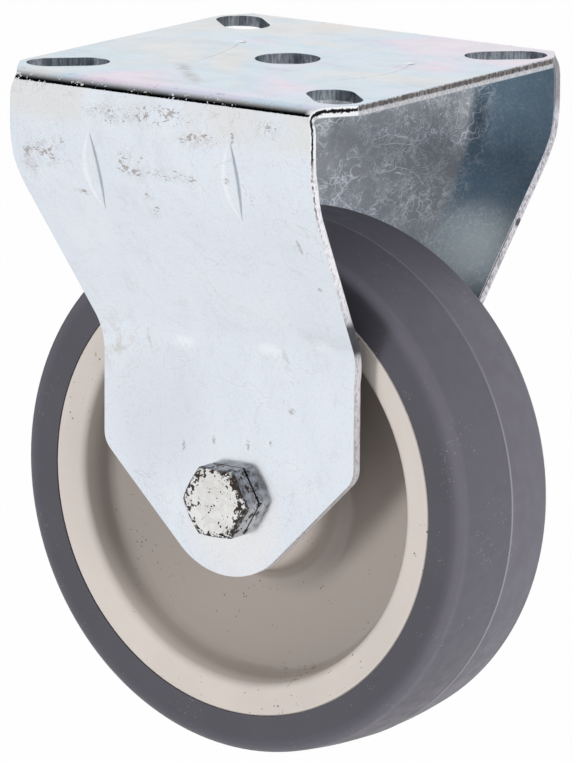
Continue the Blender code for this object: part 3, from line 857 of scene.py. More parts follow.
def zinc_inside(wire, place):
    """Colour of the sheet's inner face: dull, brownish, with painted shade in dark blue beside the rib and
    low on the right, and a painted pool of light on the far leg.
    """
    x, y, z = wire.axes(place)
    cloud = wire.ramp(wire.noise(place, 60.0, 4.0, 0.65), 0.35, 0.65)
    dull = wire.mix_colour(cloud, (0.420, 0.43, 0.455), (0.365, 0.395, 0.440))
    # Painted shade: dark blue beyond the rib and low on the right of the far leg's inner face.
    back = wire.ramp(y, 0.0, 0.002)
    beyond = wire.product(back, wire.ramp(x, RIB_X - 0.0008, RIB_X + 0.0016), wire.ramp(z, 0.116, 0.128))
    dull = wire.mix_colour(wire.product(beyond, 0.9), dull, (0.20, 0.31, 0.41))
    low_right = wire.product(back, wire.ramp(x, 0.028, 0.034), wire.ramp(z, 0.100, 0.112, 1.0, 0.0))
    dull = wire.mix_colour(wire.product(low_right, 0.8), dull, (0.22, 0.31, 0.40))
    coarse = wire.group(scratches_group(), Place=place, Scale=78.0, Width=0.011)["Mask"]
    fine = wire.group(scratches_group(), Place=place, Scale=190.0, Width=0.020)["Mask"]
    hair = wire.sum("MAXIMUM", coarse, wire.product(fine, 0.60))
    near_rib = wire.ramp(x, RIB_X + 0.001, RIB_X + 0.008, 1.0, 0.15)
    marked = wire.mix_colour(wire.product(hair, near_rib), dull, (0.84, 0.88, 0.94))
    grain = wire.ramp(wire.noise(place, 1700.0, 2.0, 0.7), 0.50, 0.70, 0.0, 0.26)
    marked = wire.mix_colour(grain, marked, (0.62, 0.66, 0.70))
    # Painted light: a pale blue pool of light with bright strands on the far leg's inner face.
    glow = wire.blob(place, PAINTED_LIGHT_POINT, 0.0150, 0.85)
    strands = wire.ramp(wire.noise(place, 1300.0, 3.0, 0.7, 0.8), 0.48, 0.62)
    marked = wire.mix_colour(wire.product(glow, 0.95), marked, (0.80, 0.93, 1.0))
    return wire.mix_colour(wire.product(strands, glow), marked, (0.92, 0.99, 1.0)), glow


def edge_gap(wire, x, y):
    """How far inside the blank's side edge a place on the plate or a neck lies."""
    away = wire.sum("ABSOLUTE", y)
    narrowed = wire.ramp(away, NECK_START, NECK_START + NECK_RUN, 0.0, NECK_NOTCH, smooth=False)
    return wire.sum("SUBTRACT", wire.sum("SUBTRACT", PLATE_HALF_X, wire.sum("ABSOLUTE", x)), narrowed)


def cut_edge(wire, place, depth, colour):
    """Colours of the sheared edge: a striped plate, a near neck coloured white as painted highlight with a
    black band of painted shade, grimy far necks, and mottled legs with a band of painted shade at the near
    lower bend.
    """
    x, y, z = wire.axes(place)
    near = near_side(wire, y)
    away = wire.sum("ABSOLUTE", y)
    cut = band(wire, depth, 0.05, 0.95, 0.02)
    ragged = wire.noise(wire.mapping(place, scale=(1.0, 1.0, 0.6)), 1500.0, 3.0, 0.7)
    shifted = wire.sum("MULTIPLY_ADD", wire.sum("SUBTRACT", ragged, 0.5), 0.60, depth)
    beyond = wire.ramp(away, NECK_START - 0.0003, NECK_START + 0.0003)
    rim = wire.ramp(edge_gap(wire, x, y), 0.0014, 0.0019, 1.0, 0.0)
    high = wire.ramp(z, PLATE_TOP - 0.0034, PLATE_TOP - 0.0026)
    holes = wire.product(high, wire.sum("SUBTRACT", 1.0, rim))
    neck = wire.product(beyond, wire.ramp(z, 0.1430, 0.1490), rim)
    top = wire.product(high, rim, wire.sum("SUBTRACT", 1.0, beyond))
    legs = wire.product(*[wire.sum("SUBTRACT", 1.0, part) for part in (neck, top, holes)])
    upright = wire.mapping(place, scale=(1.0, 1.0, 0.15))
    stripes = wire.ramp(wire.noise(upright, 1900.0, 2.0, 0.6), 0.40, 0.62)
    land = wire.mix_colour(stripes, (0.085, 0.078, 0.078), (0.24, 0.22, 0.22))
    rim_far = wire.product(wire.sum("MAXIMUM", legs, neck), wire.sum("SUBTRACT", 1.0, near))
    fracture = wire.mix_colour(wire.ramp(ragged, 0.35, 0.6), (0.66, 0.66, 0.68), (0.46, 0.47, 0.50))
    colour = wire.mix_colour(wire.product(cut, top), colour, fracture)
    colour = wire.mix_colour(wire.product(cut, top, band(wire, shifted, 0.10, 0.56, 0.06)), colour, land)
    worn = wire.mix_colour(wire.ramp(ragged, 0.36, 0.60), (0.26, 0.25, 0.27), (0.62, 0.60, 0.64))
    dirty = wire.mix_colour(ragged, (0.10, 0.10, 0.11), (0.42, 0.40, 0.43))
    grimy = wire.mix_colour(wire.ramp(z, 0.136, 0.147), worn, dirty)
    # Painted highlight: the near neck's cut edge is coloured near-white; the far neck keeps its grime.
    neck_highlight_and_grime = wire.mix_colour(near, grimy, (0.90, 0.91, 0.93))
    colour = wire.mix_colour(wire.product(cut, neck), colour, neck_highlight_and_grime)
    # Painted shade: a black band across the middle of the near neck's cut edge.
    line = wire.product(cut, neck, near, band(wire, shifted, 0.26, 0.60, 0.05))
    colour = wire.mix_colour(line, colour, (0.012, 0.011, 0.014))
    bore = wire.mix_colour(stripes, (0.17, 0.19, 0.225), (0.34, 0.38, 0.42))
    colour = wire.mix_colour(wire.product(cut, holes), colour, bore)
    mottled = wire.mix_colour(wire.ramp(ragged, 0.36, 0.52), (0.56, 0.55, 0.58), (0.80, 0.79, 0.83))
    mottled = wire.mix_colour(near, worn, mottled)
    # Painted shade: a dark band on the near legs' cut edges at the lower bend.
    shade = wire.product(near, band(wire, z, 0.0995, 0.1075, 0.0012))
    mottled = wire.mix_colour(wire.product(shade, 0.9), mottled, (0.03, 0.035, 0.045))
    colour = wire.mix_colour(wire.product(cut, legs), colour, mottled)
    broken = wire.ramp(wire.noise(place, 800.0, 2.0), 0.40, 0.56)
    nibbled = wire.product(cut, legs, band(wire, shifted, 0.06, 0.36, 0.06), broken,
                           wire.ramp(z, 0.126, 0.142, 0.30, 0.95))
    colour = wire.mix_colour(wire.product(nibbled, near), colour, (0.045, 0.042, 0.045))
    lined = wire.sum("MAXIMUM", band(wire, z, 0.099, 0.1205, 0.0015), wire.ramp(z, 0.137, 0.145, 0.0, 0.8))
    inner_line = wire.product(rim_far, band(wire, depth, 0.78, 0.93, 0.04), lined)
    dark = wire.sum("MAXIMUM", inner_line, wire.product(wire.blob(place, EDGE_NICK, 0.0013, 0.5), 0.95))
    sheared = wire.product(cut, wire.sum("MAXIMUM", legs, rim_far))
    return wire.mix_colour(wire.product(dark, 0.9), colour, (0.02, 0.02, 0.025)), cut, sheared


def oval(wire, place, across, height, half_width, half_height, edge=0.7):
    """1 in the middle of an upright oval on the legs and 0 beyond it."""
    squeezed = wire.mapping(place, scale=(1 / half_width, 0.0, 1 / half_height))
    return wire.blob(squeezed, (across / half_width, 0.0, height / half_height), 1.0, edge)


def most(wire, values):
    """The largest of several values."""
    result = values[0]
    for value in values[1:]:
        result = wire.sum("MAXIMUM", result, value)
    return result


def scattered_dirt(wire, place):
    """Brownish nicks and stains where the photographed leg carries them."""
    spread = most(wire, [oval(wire, place, *patch, 0.8) for patch in NICK_PATCHES])
    flattened = wire.mapping(place, scale=(0.75, 1.0, 1.2))
    amount = wire.sum("MULTIPLY", spread, 2.7)
    nicks = wire.group(specks_group(), Place=flattened, Size=2200.0, Amount=amount, Patch=330.0)["Mask"]
    scuffs = wire.group(scratches_group(), Place=place, Scale=230.0, Width=0.030)["Mask"]
    nicks = wire.sum("MAXIMUM", nicks, wire.product(scuffs, spread, 0.55))
    marks = most(wire, [oval(wire, place, *mark, 0.5) for mark in SMALL_MARKS])
    frayed = wire.ramp(wire.noise(place, 1600.0, 3.0, 0.7), 0.38, 0.55)
    dirt = wire.sum("MAXIMUM", nicks, wire.product(marks, frayed, 0.8))
    return wire.product(dirt, near_side(wire, wire.axes(place)[1]))


def rib_flank_highlight_and_shade(wire, place):
    """Painted highlight on the upper ribs' left flanks and painted shade on their right flanks, pointed at
    both ends.
    """
    x, _, z = wire.axes(place)
    bright, dark = [], []
    width = UPPER_RIB[1]
    for side in (-1, 1):
        along = wire.sum("DIVIDE", wire.sum("SUBTRACT", z, RIB_MIDDLE_Z[side]), RIB_HALF_Z)
        narrowing = wire.sum("POWER", wire.sum("ABSOLUTE", along), 2.0)
        reach = wire.sum("MAXIMUM", wire.sum("SUBTRACT", 1.0, narrowing), 0.02)
        spread = wire.sum("DIVIDE", wire.sum("SUBTRACT", x, side * RIB_X), reach)
        inside = wire.ramp(reach, 0.03, 0.12)
        bright.append(wire.product(band(wire, spread, -0.50 * width, -0.34 * width, 0.09 * width), inside))
        dark.append(wire.product(band(wire, spread, 0.05 * width, 0.40 * width, 0.06 * width), inside))
    return most(wire, bright), most(wire, dark)


def leg_relief(wire, place, plain):
    """The near leg's rib flanks with painted highlight and painted shade, painted highlights along the lower
    bend, stains, a warm patch round the bolt and a darker, bluer patch low on the left.
    """
    bright, dark = rib_flank_highlight_and_shade(wire, place)
    # Painted highlight and painted shade on the rib flanks.
    colour = wire.mix_colour(wire.product(bright, 0.50), plain, (0.95, 0.97, 1.0))
    colour = wire.mix_colour(wire.product(dark, 0.62), colour, (0.30, 0.34, 0.36))
    # Painted highlights along the lower bend.
    lights = most(wire, [oval(wire, place, *light, 0.9) for light in PAINTED_BEND_HIGHLIGHTS])
    colour = wire.mix_colour(wire.product(lights, 0.48), colour, (0.94, 0.96, 0.99))
    frayed = wire.ramp(wire.noise(place, 700.0, 3.0, 0.7), 0.40, 0.60)
    stain = most(wire, [oval(wire, place, *mark, 0.6) for mark in BEND_STAINS])
    colour = wire.mix_colour(wire.product(stain, frayed, 0.45), colour, (0.52, 0.45, 0.40))
    warm = oval(wire, place, 0.0020, 0.0560, 0.0170, 0.0190, 0.6)
    colour = wire.mix_colour(wire.product(warm, 0.60), colour, (0.83, 0.81, 0.80))
    cool = oval(wire, place, -0.0200, 0.0790, 0.0210, 0.0230, 0.7)
    colour = wire.mix_colour(wire.product(cool, 0.45), colour, (0.64, 0.67, 0.75))
    return wire.mix_colour(near_side(wire, wire.axes(place)[1]), plain, colour)


def plate_marks(wire, place, colour):
    """Drag marks that end in a small dent with a painted highlight and painted shade on it, and a dark
    smudge towards the near fold.
    """
    x, y, _ = wire.axes(place)
    flat = wire.mapping(place, scale=(1.0, 1.0, 0.0))
    torn = wire.ramp(wire.noise(place, 500.0, 3.0, 0.7), 0.35, 0.60)
    within = band(wire, y, -0.0165, 0.0105, 0.0015)
    for centre, radius in DRAG_MARKS:
        off = wire.sum("ABSOLUTE", wire.sum("SUBTRACT", wire.gap(flat, (*centre, 0.0)), radius))
        arc = wire.ramp(x, centre[0], centre[0] + 0.001)
        line = wire.product(wire.ramp(off, 0.00015, 0.00045, 1.0, 0.0), within, torn, arc)
        colour = wire.mix_colour(wire.product(line, 0.75), colour, (0.30, 0.31, 0.34))
    for across, along in DENTS:
        # Painted highlight on one side of each dent and painted shade on the other.
        lit = wire.blob(flat, (across - 0.0007, along + 0.0004, 0.0), 0.0014, 0.5)
        shaded = wire.blob(flat, (across + 0.0010, along - 0.0008, 0.0), 0.0010, 0.6)
        colour = wire.mix_colour(lit, colour, (0.97, 0.98, 1.0))
        colour = wire.mix_colour(wire.product(shaded, 0.8), colour, (0.20, 0.21, 0.24))
    turned_place = wire.mapping(place, rotation=(0.0, 0.0, math.radians(45)))
    along, across, _ = wire.axes(turned_place)
    streak = wire.product(band(wire, across, -0.0264, -0.0240, 0.0014),
                          band(wire, along, 0.0040, 0.0290, 0.0040))
    smudge = wire.product(streak, wire.ramp(wire.noise(place, 260.0, 4.0, 0.7), 0.34, 0.54))
    return wire.mix_colour(wire.product(smudge, 0.85), colour, (0.24, 0.25, 0.28))


def sheet_zinc(finish):
    """Bright zinc on the pressed sheet: tinted plate, scuffed faces and sheared edges."""
    material, wire, shader, place = new_material("bright_zinc_sheet")
    _, y, z = wire.axes(place)
    depth = attribute(wire, "depth")
    inside = wire.ramp(depth, 0.90, 0.98)
    inner, glow = zinc_inside(wire, place)
    colour = wire.mix_colour(inside, zinc_face(wire, place, finish), inner)
    outside = wire.ramp(depth, 0.02, 0.10, 1.0, 0.0)
    specks = wire.product(scattered_dirt(wire, place), outside)
    colour = wire.mix_colour(wire.product(specks, 0.68), colour, (0.27, 0.22, 0.185))
    smear = wire.product(wire.blob(place, SMEAR_POINT, 0.009, 0.9),
                         wire.ramp(wire.noise(place, 300.0, 4.0, 0.7), 0.45, 0.62), outside)
    colour = wire.mix_colour(wire.product(smear, 0.45), colour, (0.52, 0.45, 0.38))
    hair = wire.group(scratches_group(), Place=place, Scale=42.0, Width=0.004)["Mask"]
    colour = wire.mix_colour(wire.product(hair, outside, 0.22), colour, (0.42, 0.42, 0.44))
    colour, cut, sheared = cut_edge(wire, place, depth, colour)
    wire.join(colour, shader.inputs["Base Color"])
    rough = wire.ramp(wire.noise(place, 120.0, 4.0, 0.6), 0.3, 0.7,
                      finish.zinc_roughness * 0.75, finish.zinc_roughness * 1.45)
    for mask, rise in ((cut, 0.20), (specks, 0.4), (inside, 0.20)):
        rough = wire.sum("ADD", rough, wire.product(mask, rise))
    away = wire.sum("ABSOLUTE", y)
    fold_y, fold_z = PLATE_HALF_Y - FOLD_RADIUS, PLATE_TOP - FOLD_RADIUS
    fold = wire.product(wire.ramp(away, fold_y - 0.0010, fold_y + 0.0003),
                        wire.ramp(z, fold_z - 0.0025, fold_z), outside)
    flecks = wire.group(specks_group(), Place=place, Size=1600.0, Amount=1.25, Patch=260.0)["Mask"]
    rough = wire.product(rough, wire.sum("MULTIPLY_ADD", fold, -0.70, 1.0))
    rough = wire.sum("ADD", rough, wire.product(fold, flecks, 0.55))
    wire.join(rough, shader.inputs["Roughness"])
    # Less metal on the dirt specks and sheared edges, and in the painted pool of light on the far leg, so
    # that it shows lighter.
    dull = most(wire, [
        wire.product(specks, 0.7), wire.product(sheared, 0.55), wire.product(inside, glow, 0.95)])
    wire.join(wire.sum("SUBTRACT", 1.0, dull), shader.inputs["Metallic"])
    marks = most(wire, [wire.blob(place, (*dent, PLATE_TOP), 0.0014, 0.7) for dent in DENTS])
    calm = wire.sum("MULTIPLY_ADD", fold, -0.85, 1.0)
    wave = wire.bump(wire.product(wire.noise(place, 62.0, 3.0, 0.55), calm), 0.00007)
    pressed = wire.bump(marks, 0.00030, below=wave)
    grain = wire.bump(wire.noise(place, 1500.0, 2.0, 0.6), 0.000010, below=pressed)
    nicks = wire.bump(wire.product(specks, -1.0), 0.00002, below=grain)
    wire.join(nicks, shader.inputs["Normal"])
    return material


def worn_bolt(finish, name, rust, face, centre):
    """Zinc-plated steel: a pale face, flats coloured dark as painted shade and darker towards the top, and
    rust along the chamfer and the corners.
    """
    material, wire, shader, place = new_material(name)
    _, y, z = wire.axes(place)
    flat = wire.mapping(place, location=(-centre[0], 0, -centre[2]), scale=(1, 0, 1))
    radius = wire.gap(flat, (0, 0, 0))
    on_side = wire.product(wire.ramp(y, face + 0.0005, face + 0.0014), wire.ramp(radius, 0.0060, 0.0066))
    cloud = wire.noise(place, 260.0, 4.0, 0.6)
    colour = wire.mix_colour(wire.ramp(cloud, 0.4, 0.65), tuple(finish.bolt_tint), (0.70, 0.69, 0.67))
    # Painted shade: the flats are coloured dark, and darker towards the top.
    streaks = wire.ramp(wire.noise(place, 750.0, 4.0, 0.7), 0.36, 0.62)
    steel = wire.mix_colour(streaks, (0.030, 0.034, 0.045), (0.30, 0.32, 0.36))
    pale = wire.product(on_side, wire.ramp(z, centre[2] - 0.0010, centre[2] + 0.0015, 0.55, 1.0))
    colour = wire.mix_colour(wire.product(pale, 0.85), colour, steel)
    chamfer = wire.product(band(wire, radius, 0.0070, 0.0092, 0.0005),
                           wire.ramp(y, face + 0.0008, face + 0.0020, 1.0, 0.30))
    shift = wire.sum("MULTIPLY_ADD", chamfer, -0.155 * rust, 0.66)
    grime = wire.ramp(wire.sum("SUBTRACT", wire.noise(place, 900.0, 4.0, 0.7, 0.5), shift), -0.02, 0.05)
    sides = []
    for turn in (30, 90, 150):
        spoke = (math.cos(math.radians(turn)), 0.0, math.sin(math.radians(turn)))
        sides.append(wire.sum("ABSOLUTE", wire.dot(flat, spoke)))
    hexagon = most(wire, sides)
    frayed = wire.noise(place, 700.0, 3.0, 0.65)
    reach = wire.sum("MULTIPLY_ADD", frayed, 0.0016, hexagon)
    flat_edge = ACROSS_FLATS / 2
    outline = wire.product(wire.ramp(reach, flat_edge + 0.0006, flat_edge + 0.0009),
                           wire.ramp(y, face + 0.0012, face + 0.0020, 1.0, 0.0))
    worst = most(wire, [wire.blob(flat, point, radius_of, 0.7) for point, radius_of in RUST_PATCHES])
    holed = wire.ramp(wire.noise(place, 1500.0, 3.0, 0.7), 0.40, 0.50)
    ragged = wire.sum("MULTIPLY_ADD", frayed, 0.0060, hexagon)
    thick = wire.product(worst, holed, wire.ramp(ragged, 0.0100, 0.0105),
                         wire.ramp(y, face + 0.0015, face + 0.0024, 1.0, 0.0))
    grime = most(wire, [grime, wire.product(outline, rust), wire.product(thick, rust)])
    worn_ring = wire.product(wire.ramp(radius, 0.0052, 0.0068), 1.5 * rust)
    amount = wire.sum("ADD", worn_ring, 1.05 * rust)
    few = wire.group(specks_group(), Place=place, Size=1700.0, Amount=amount, Patch=420.0)["Mask"]
    mask = wire.sum("MAXIMUM", few, grime)
    brown = tuple(0.6 * part for part in finish.rust_tint)
    rusty = wire.mix_colour(wire.noise(place, 1300.0, 2.0), brown, (0.010, 0.008, 0.008))
    colour = wire.mix_colour(mask, colour, rusty)
    wire.join(colour, shader.inputs["Base Color"])
    wire.join(wire.sum("MULTIPLY_ADD", mask, 0.40, 0.26), shader.inputs["Roughness"])
    wire.join(wire.sum("MULTIPLY_ADD", mask, -0.80, 1.0), shader.inputs["Metallic"])
    worn = wire.bump(wire.noise(place, 420.0, 3.0, 0.6), 0.00006)
    wire.join(wire.bump(wire.product(mask, -1.0), 0.00005, below=worn), shader.inputs["Normal"])
    return material


def ground_steel(name, tint, roughness):
    """Plain ground steel of the bearing's parts."""
    material, wire, shader, place = new_material(name)
    rings = wire.noise(wire.mapping(place, scale=(40.0, 900.0, 40.0)), 1.0, 2.0)
    wire.join(wire.mix_colour(rings, tint, tuple(0.8 * part for part in tint)), shader.inputs["Base Color"])
    shader.inputs["Metallic"].default_value = 1.0
    wire.join(wire.ramp(rings, 0.3, 0.7, roughness, roughness + 0.12), shader.inputs["Roughness"])
    return material


def moulded_plastic(name, tint, roughness, fleck, recess=None, dirt=None):
    """Satin moulded plastic with faint clouding, dark flecks, painted shade darkening a recess, and a patch
    of dirt.
    """
    material, wire, shader, place = new_material(name)
    cloud = wire.noise(place, 45.0, 3.0, 0.5)
    colour = wire.mix_colour(wire.ramp(cloud, 0.35, 0.7), tint, tuple(0.94 * part for part in tint))
    # Painted shade: darker deeper in the recess.
    if recess:
        _, along, _ = wire.axes(place)
        deep = wire.ramp(wire.sum("ABSOLUTE", along), recess[0], recess[1])
        colour = wire.mix_colour(deep, colour, tuple(part * share for part, share in zip(tint, recess[2])))
    specks = wire.group(specks_group(), Place=place, Size=900.0, Amount=fleck, Patch=60.0)["Mask"]
    colour = wire.mix_colour(wire.sum("MULTIPLY", specks, 0.8), colour, (0.08, 0.055, 0.04))
    if dirt:
        grit = wire.group(specks_group(), Place=place, Size=1250.0, Amount=1.3, Patch=160.0)["Mask"]
        gathered = wire.product(grit, wire.blob(place, *dirt, 0.7), 0.85)
        colour = wire.mix_colour(gathered, colour, (0.16, 0.085, 0.045))
    wire.join(colour, shader.inputs["Base Color"])
    rough = wire.ramp(wire.noise(place, 260.0, 3.0), 0.3, 0.7, roughness, roughness + 0.08)
    wire.join(rough, shader.inputs["Roughness"])
    wire.join(wire.bump(wire.noise(place, 1100.0, 2.0, 0.5), 0.000012), shader.inputs["Normal"])
    return material


def tyre_rubber(finish, parting_line):
    """Grey thermoplastic rubber: matt sides, a tread coloured lighter as painted light, a shoulder band
    partly scuffed and partly painted highlight, a tread that pales beyond the parting line, dust and nicks.
    """
    material, wire, shader, place = new_material("grey_rubber")
    _, y, z = wire.axes(place)
    tint = tuple(finish.rubber_tint)
    cloud = wire.noise(place, 60.0, 4.0, 0.6)
    colour = wire.mix_colour(wire.ramp(cloud, 0.3, 0.75), tuple(0.90 * part for part in tint), tint)
    radius = wire.gap(wire.mapping(place, location=(0, 0, -AXLE_Z), scale=(1, 0, 1)), (0, 0, 0))
    # Painted light: the tread is coloured lighter than the sides.
    tread = wire.ramp(radius, WHEEL_RADIUS - 0.0034, WHEEL_RADIUS - 0.0020)
    colour = wire.mix_colour(tread, colour, tuple(1.18 * part for part in tint))
    # The shoulder band: partly scuffed, partly painted highlight.
    shoulder = wire.product(band(wire, radius, WHEEL_RADIUS - 0.0042, WHEEL_RADIUS - 0.0008, 0.0007),
                            band(wire, wire.sum("ABSOLUTE", y), 0.0148, 0.0177, 0.0008))
    colour = wire.mix_colour(wire.product(shoulder, 0.85), colour, tuple(1.50 * part for part in tint))
    beyond = wire.product(tread, wire.ramp(y, parting_line - 0.0001, parting_line + 0.0004))
    colour = wire.mix_colour(beyond, colour, tuple(1.45 * part for part in tint))
    line = wire.product(tread, band(wire, y, parting_line - 0.00035, parting_line + 0.00020, 0.00012))
    line = wire.product(line, wire.ramp(z, AXLE_Z, AXLE_Z + 0.05, 0.75, 0.30))
    colour = wire.mix_colour(line, colour, (0.30, 0.29, 0.31))
    dust = wire.group(specks_group(), Place=place, Size=1500.0, Amount=0.50, Patch=90.0)["Mask"]
    colour = wire.mix_colour(wire.sum("MULTIPLY", dust, 0.30), colour, (0.42, 0.41, 0.40))
    wire.join(colour, shader.inputs["Base Color"])
    rough = wire.ramp(wire.noise(place, 240.0, 4.0, 0.6), 0.3, 0.7, 0.46, 0.60)
    wire.join(rough, shader.inputs["Roughness"])
    shader.inputs["Specular IOR Level"].default_value = 0.42
    wire.join(wire.bump(wire.noise(place, 2200.0, 3.0, 0.6), 0.00002), shader.inputs["Normal"])
    return material


def finish_piece(piece, material, body, slot, *nodes):
    """Give a new piece its material and body, and let it stand for its solids. The slot argument is not
    used.
    """
    piece.data.materials.clear()
    piece.data.materials.append(material)
    settle(piece)
    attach(piece, body)
    if nodes:
        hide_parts(*nodes)


class CASTOR_OT_bracket(bpy.types.Operator):
    """Fold, punch and plate the bracket's sheet"""

    bl_idname = "castor.bracket"
    bl_label = "Bracket"

    def execute(self, context):
        sizes = context.scene.castor_sizes
        piece, outer_face, inner_face = folded_sheet("pressed_bracket")
        low, high = PLATE_TOP - 2 * SHEET, PLATE_TOP + SHEET
        reach = PLATE_HALF_Y
        axle_hole = circle_outline((0, AXLE_Z), AXLE_HOLE_RADIUS, 48)
        centre_hole = circle_outline((0, 0), CENTRE_HOLE_RADIUS, 64)
        tools = [outline_prism("tip_tool", tip_cutter_outline(), "Y", -reach, reach)]
        tools.append(outline_prism("axle_tool", axle_hole, "Y", -reach, reach))
        tools.append(outline_prism("centre_tool", centre_hole, "Z", low, high))
        for side_x in (-1, 1):
            for side_y in (-1, 1):
                centre = Vector((side_x * SLOT_X, side_y * SLOT_Y))
                slot = stadium(centre, centre, SLOT_LENGTH, SLOT_WIDTH, 22)
                tools.append(outline_prism("slot_tool", slot, "Z", low, high))
        carve(piece, tools)
        soften(piece, sizes.edge_break, 2, math.radians(50))
        mark_depth(piece, outer_face, inner_face, len(sheet_columns()) + 2 * EDGE_STEPS)
        finish_piece(piece, sheet_zinc(context.scene.castor_finishes), "fork", "zinc", "bracket")
        return {"FINISHED"}


def mirrored(half):
    """A whole section from its half with y above zero."""
    return list(half) + [Vector((-along, radius)) for along, radius in reversed(half)]


def rim_seat(gap):
    """The moulded joint between wheel centre and tyre, half a section, spread outwards by a gap."""
    key_half = RIM_SEAT_KEY / 2 + gap
    base = RIM_RADIUS + gap
    return [(RIM_HALF, base), (key_half + RIM_SEAT_RISE / 2, base), (key_half, base + RIM_SEAT_RISE)]


class CASTOR_OT_wheel_centre(bpy.types.Operator):
    """Turn the moulded wheel centre with its rim lip, web and hub"""

    bl_idname = "castor.wheel_centre"
    bl_label = "Wheel centre"

    def execute(self, context):
        sizes = context.scene.castor_sizes
        finish = context.scene.castor_finishes
        lip_y = RIM_HALF - 0.0012
        hub_end = HUB_BORE_RADIUS + HUB_WALL
        half = [((HUB_HALF, HUB_BORE_RADIUS), 0, 0)]
        half.append(((HUB_HALF, hub_end), 0.0010, 4))
        half.append(((WEB_HALF_AT_HUB, hub_end + 0.0034), WEB_CORNER, 8))
        half.append(((WEB_HALF_AT_RIM, RIM_WALL - RIM_WALL_LEAN), WEB_CORNER, 8))
        half.append(((lip_y, RIM_WALL + RIM_WALL_LEAN), 0.0022, 8))
        half.append(((RIM_HALF, RIM_RADIUS - 0.0004), 0.0004, 3))
        half.append(((RIM_HALF - 0.0004, RIM_RADIUS), 0, 0))
        points = rounded_line(half) + [Vector(point) for point in rim_seat(0)[1:]]
        piece = turned("moulded_wheel_centre", mirrored(points), sizes.round_steps, False)
        shade(piece, math.radians(40))
        # Painted shade in the dish: the distances from the wheel's middle plane where it starts and where it
        # is full, and the share of each colour left.
        recess = (RIM_HALF - 0.0022, RIM_HALF - 0.0085, (0.53, 0.51, 0.50))
        dirt = ((0.0119, -0.0105, 0.0207), 0.0075)
        plastic = moulded_plastic("wheel_plastic", tuple(finish.plastic_tint), 0.19, 0.45, recess, dirt)
        finish_piece(piece, plastic, "wheel", "polypropylene", "wheel_centre")
        return {"FINISHED"}


class CASTOR_OT_tyre(bpy.types.Operator):
    """Turn the tyre with its crowned tread and mould parting line"""

    bl_idname = "castor.tyre"
    bl_label = "Tyre"

    def execute(self, context):
        sizes = context.scene.castor_sizes
        crown_radius = (TREAD_HALF ** 2 + CROWN_DROP ** 2) / (2 * CROWN_DROP)

        def crown(along):
            return WHEEL_RADIUS - CROWN_ROOM - (crown_radius - math.sqrt(crown_radius ** 2 - along ** 2))

        half = [(Vector(point), 0, 0) for point in reversed(rim_seat(TYRE_SEAT))]
        half.append((Vector((TREAD_HALF, WHEEL_RADIUS - CROWN_DROP)), 0.0024, 8))
        for along in (0.0135, 0.0105, 0.0075, 0.0045):
            half.append((Vector((along, crown(along))), 0, 0))
        near = rounded_line(half)
        points = mirrored(near)
        offset = sizes.parting_line_offset
        rise = sizes.parting_line_height
        profile = ((0.00045, 0.0), (0.00018, 0.6), (0.0, 1.0), (-0.00018, 0.6), (-0.00045, 0.0))
        ridge = [(0.0028, 0.0)] + [(offset + off, share * rise) for off, share in profile] + [(-0.0020, 0.0)]
        points[len(near):len(near)] = [Vector((along, crown(along) + lift)) for along, lift in ridge]
        piece = turned("crowned_tyre", points, sizes.round_steps, False)
        shade(piece, math.radians(40))
        finish_piece(piece, tyre_rubber(context.scene.castor_finishes, offset), "wheel", "rubber", "tyre")
        return {"FINISHED"}


def hexagon_tool(name, low, high):
    """A six-sided tube that leaves a hexagon, with corners at the front and back of travel."""
    start_clean()
    bpy.ops.mesh.primitive_circle_add(vertices=4, fill_type="NOTHING")
    tool = take(name)
    section = [(low, HEX_CORNER), (high, HEX_CORNER), (high, 3 * HEX_CORNER), (low, 3 * HEX_CORNER)]
    for vertex, (along, radius) in zip(tool.data.vertices, section):
        vertex.co = (radius, along, AXLE_Z)
    bpy.ops.object.mode_set(mode="EDIT")
    bpy.ops.mesh.select_all(action="SELECT")
    bpy.ops.mesh.spin(steps=6, angle=2 * math.pi, center=(0, 0, AXLE_Z), axis=(0, 1, 0))
    bpy.ops.object.mode_set(mode="OBJECT")
    tidy_shell(tool)
    return tool


def chamfered_end(face, inward):
    """A hexagon's end face and its chamfer out to beyond the corners."""
    blank_radius = HEX_CORNER * 1.02
    depth = (blank_radius - HEX_FACE_RADIUS) * math.tan(HEX_CHAMFER_ANGLE)
    return [(face, HEX_FACE_RADIUS), (face + inward * depth, blank_radius)]


def thread_section(start, end, pitch, depth):
    """A shaft's outline with a thread's crests and roots between two places."""
    points = []
    place = start
    while place + pitch < end:
        points += [(place, BOLT_RADIUS - depth), (place + 0.38 * pitch, BOLT_RADIUS)]
        points += [(place + 0.55 * pitch, BOLT_RADIUS), (place + 0.93 * pitch, BOLT_RADIUS - depth)]
        place += pitch
    return points


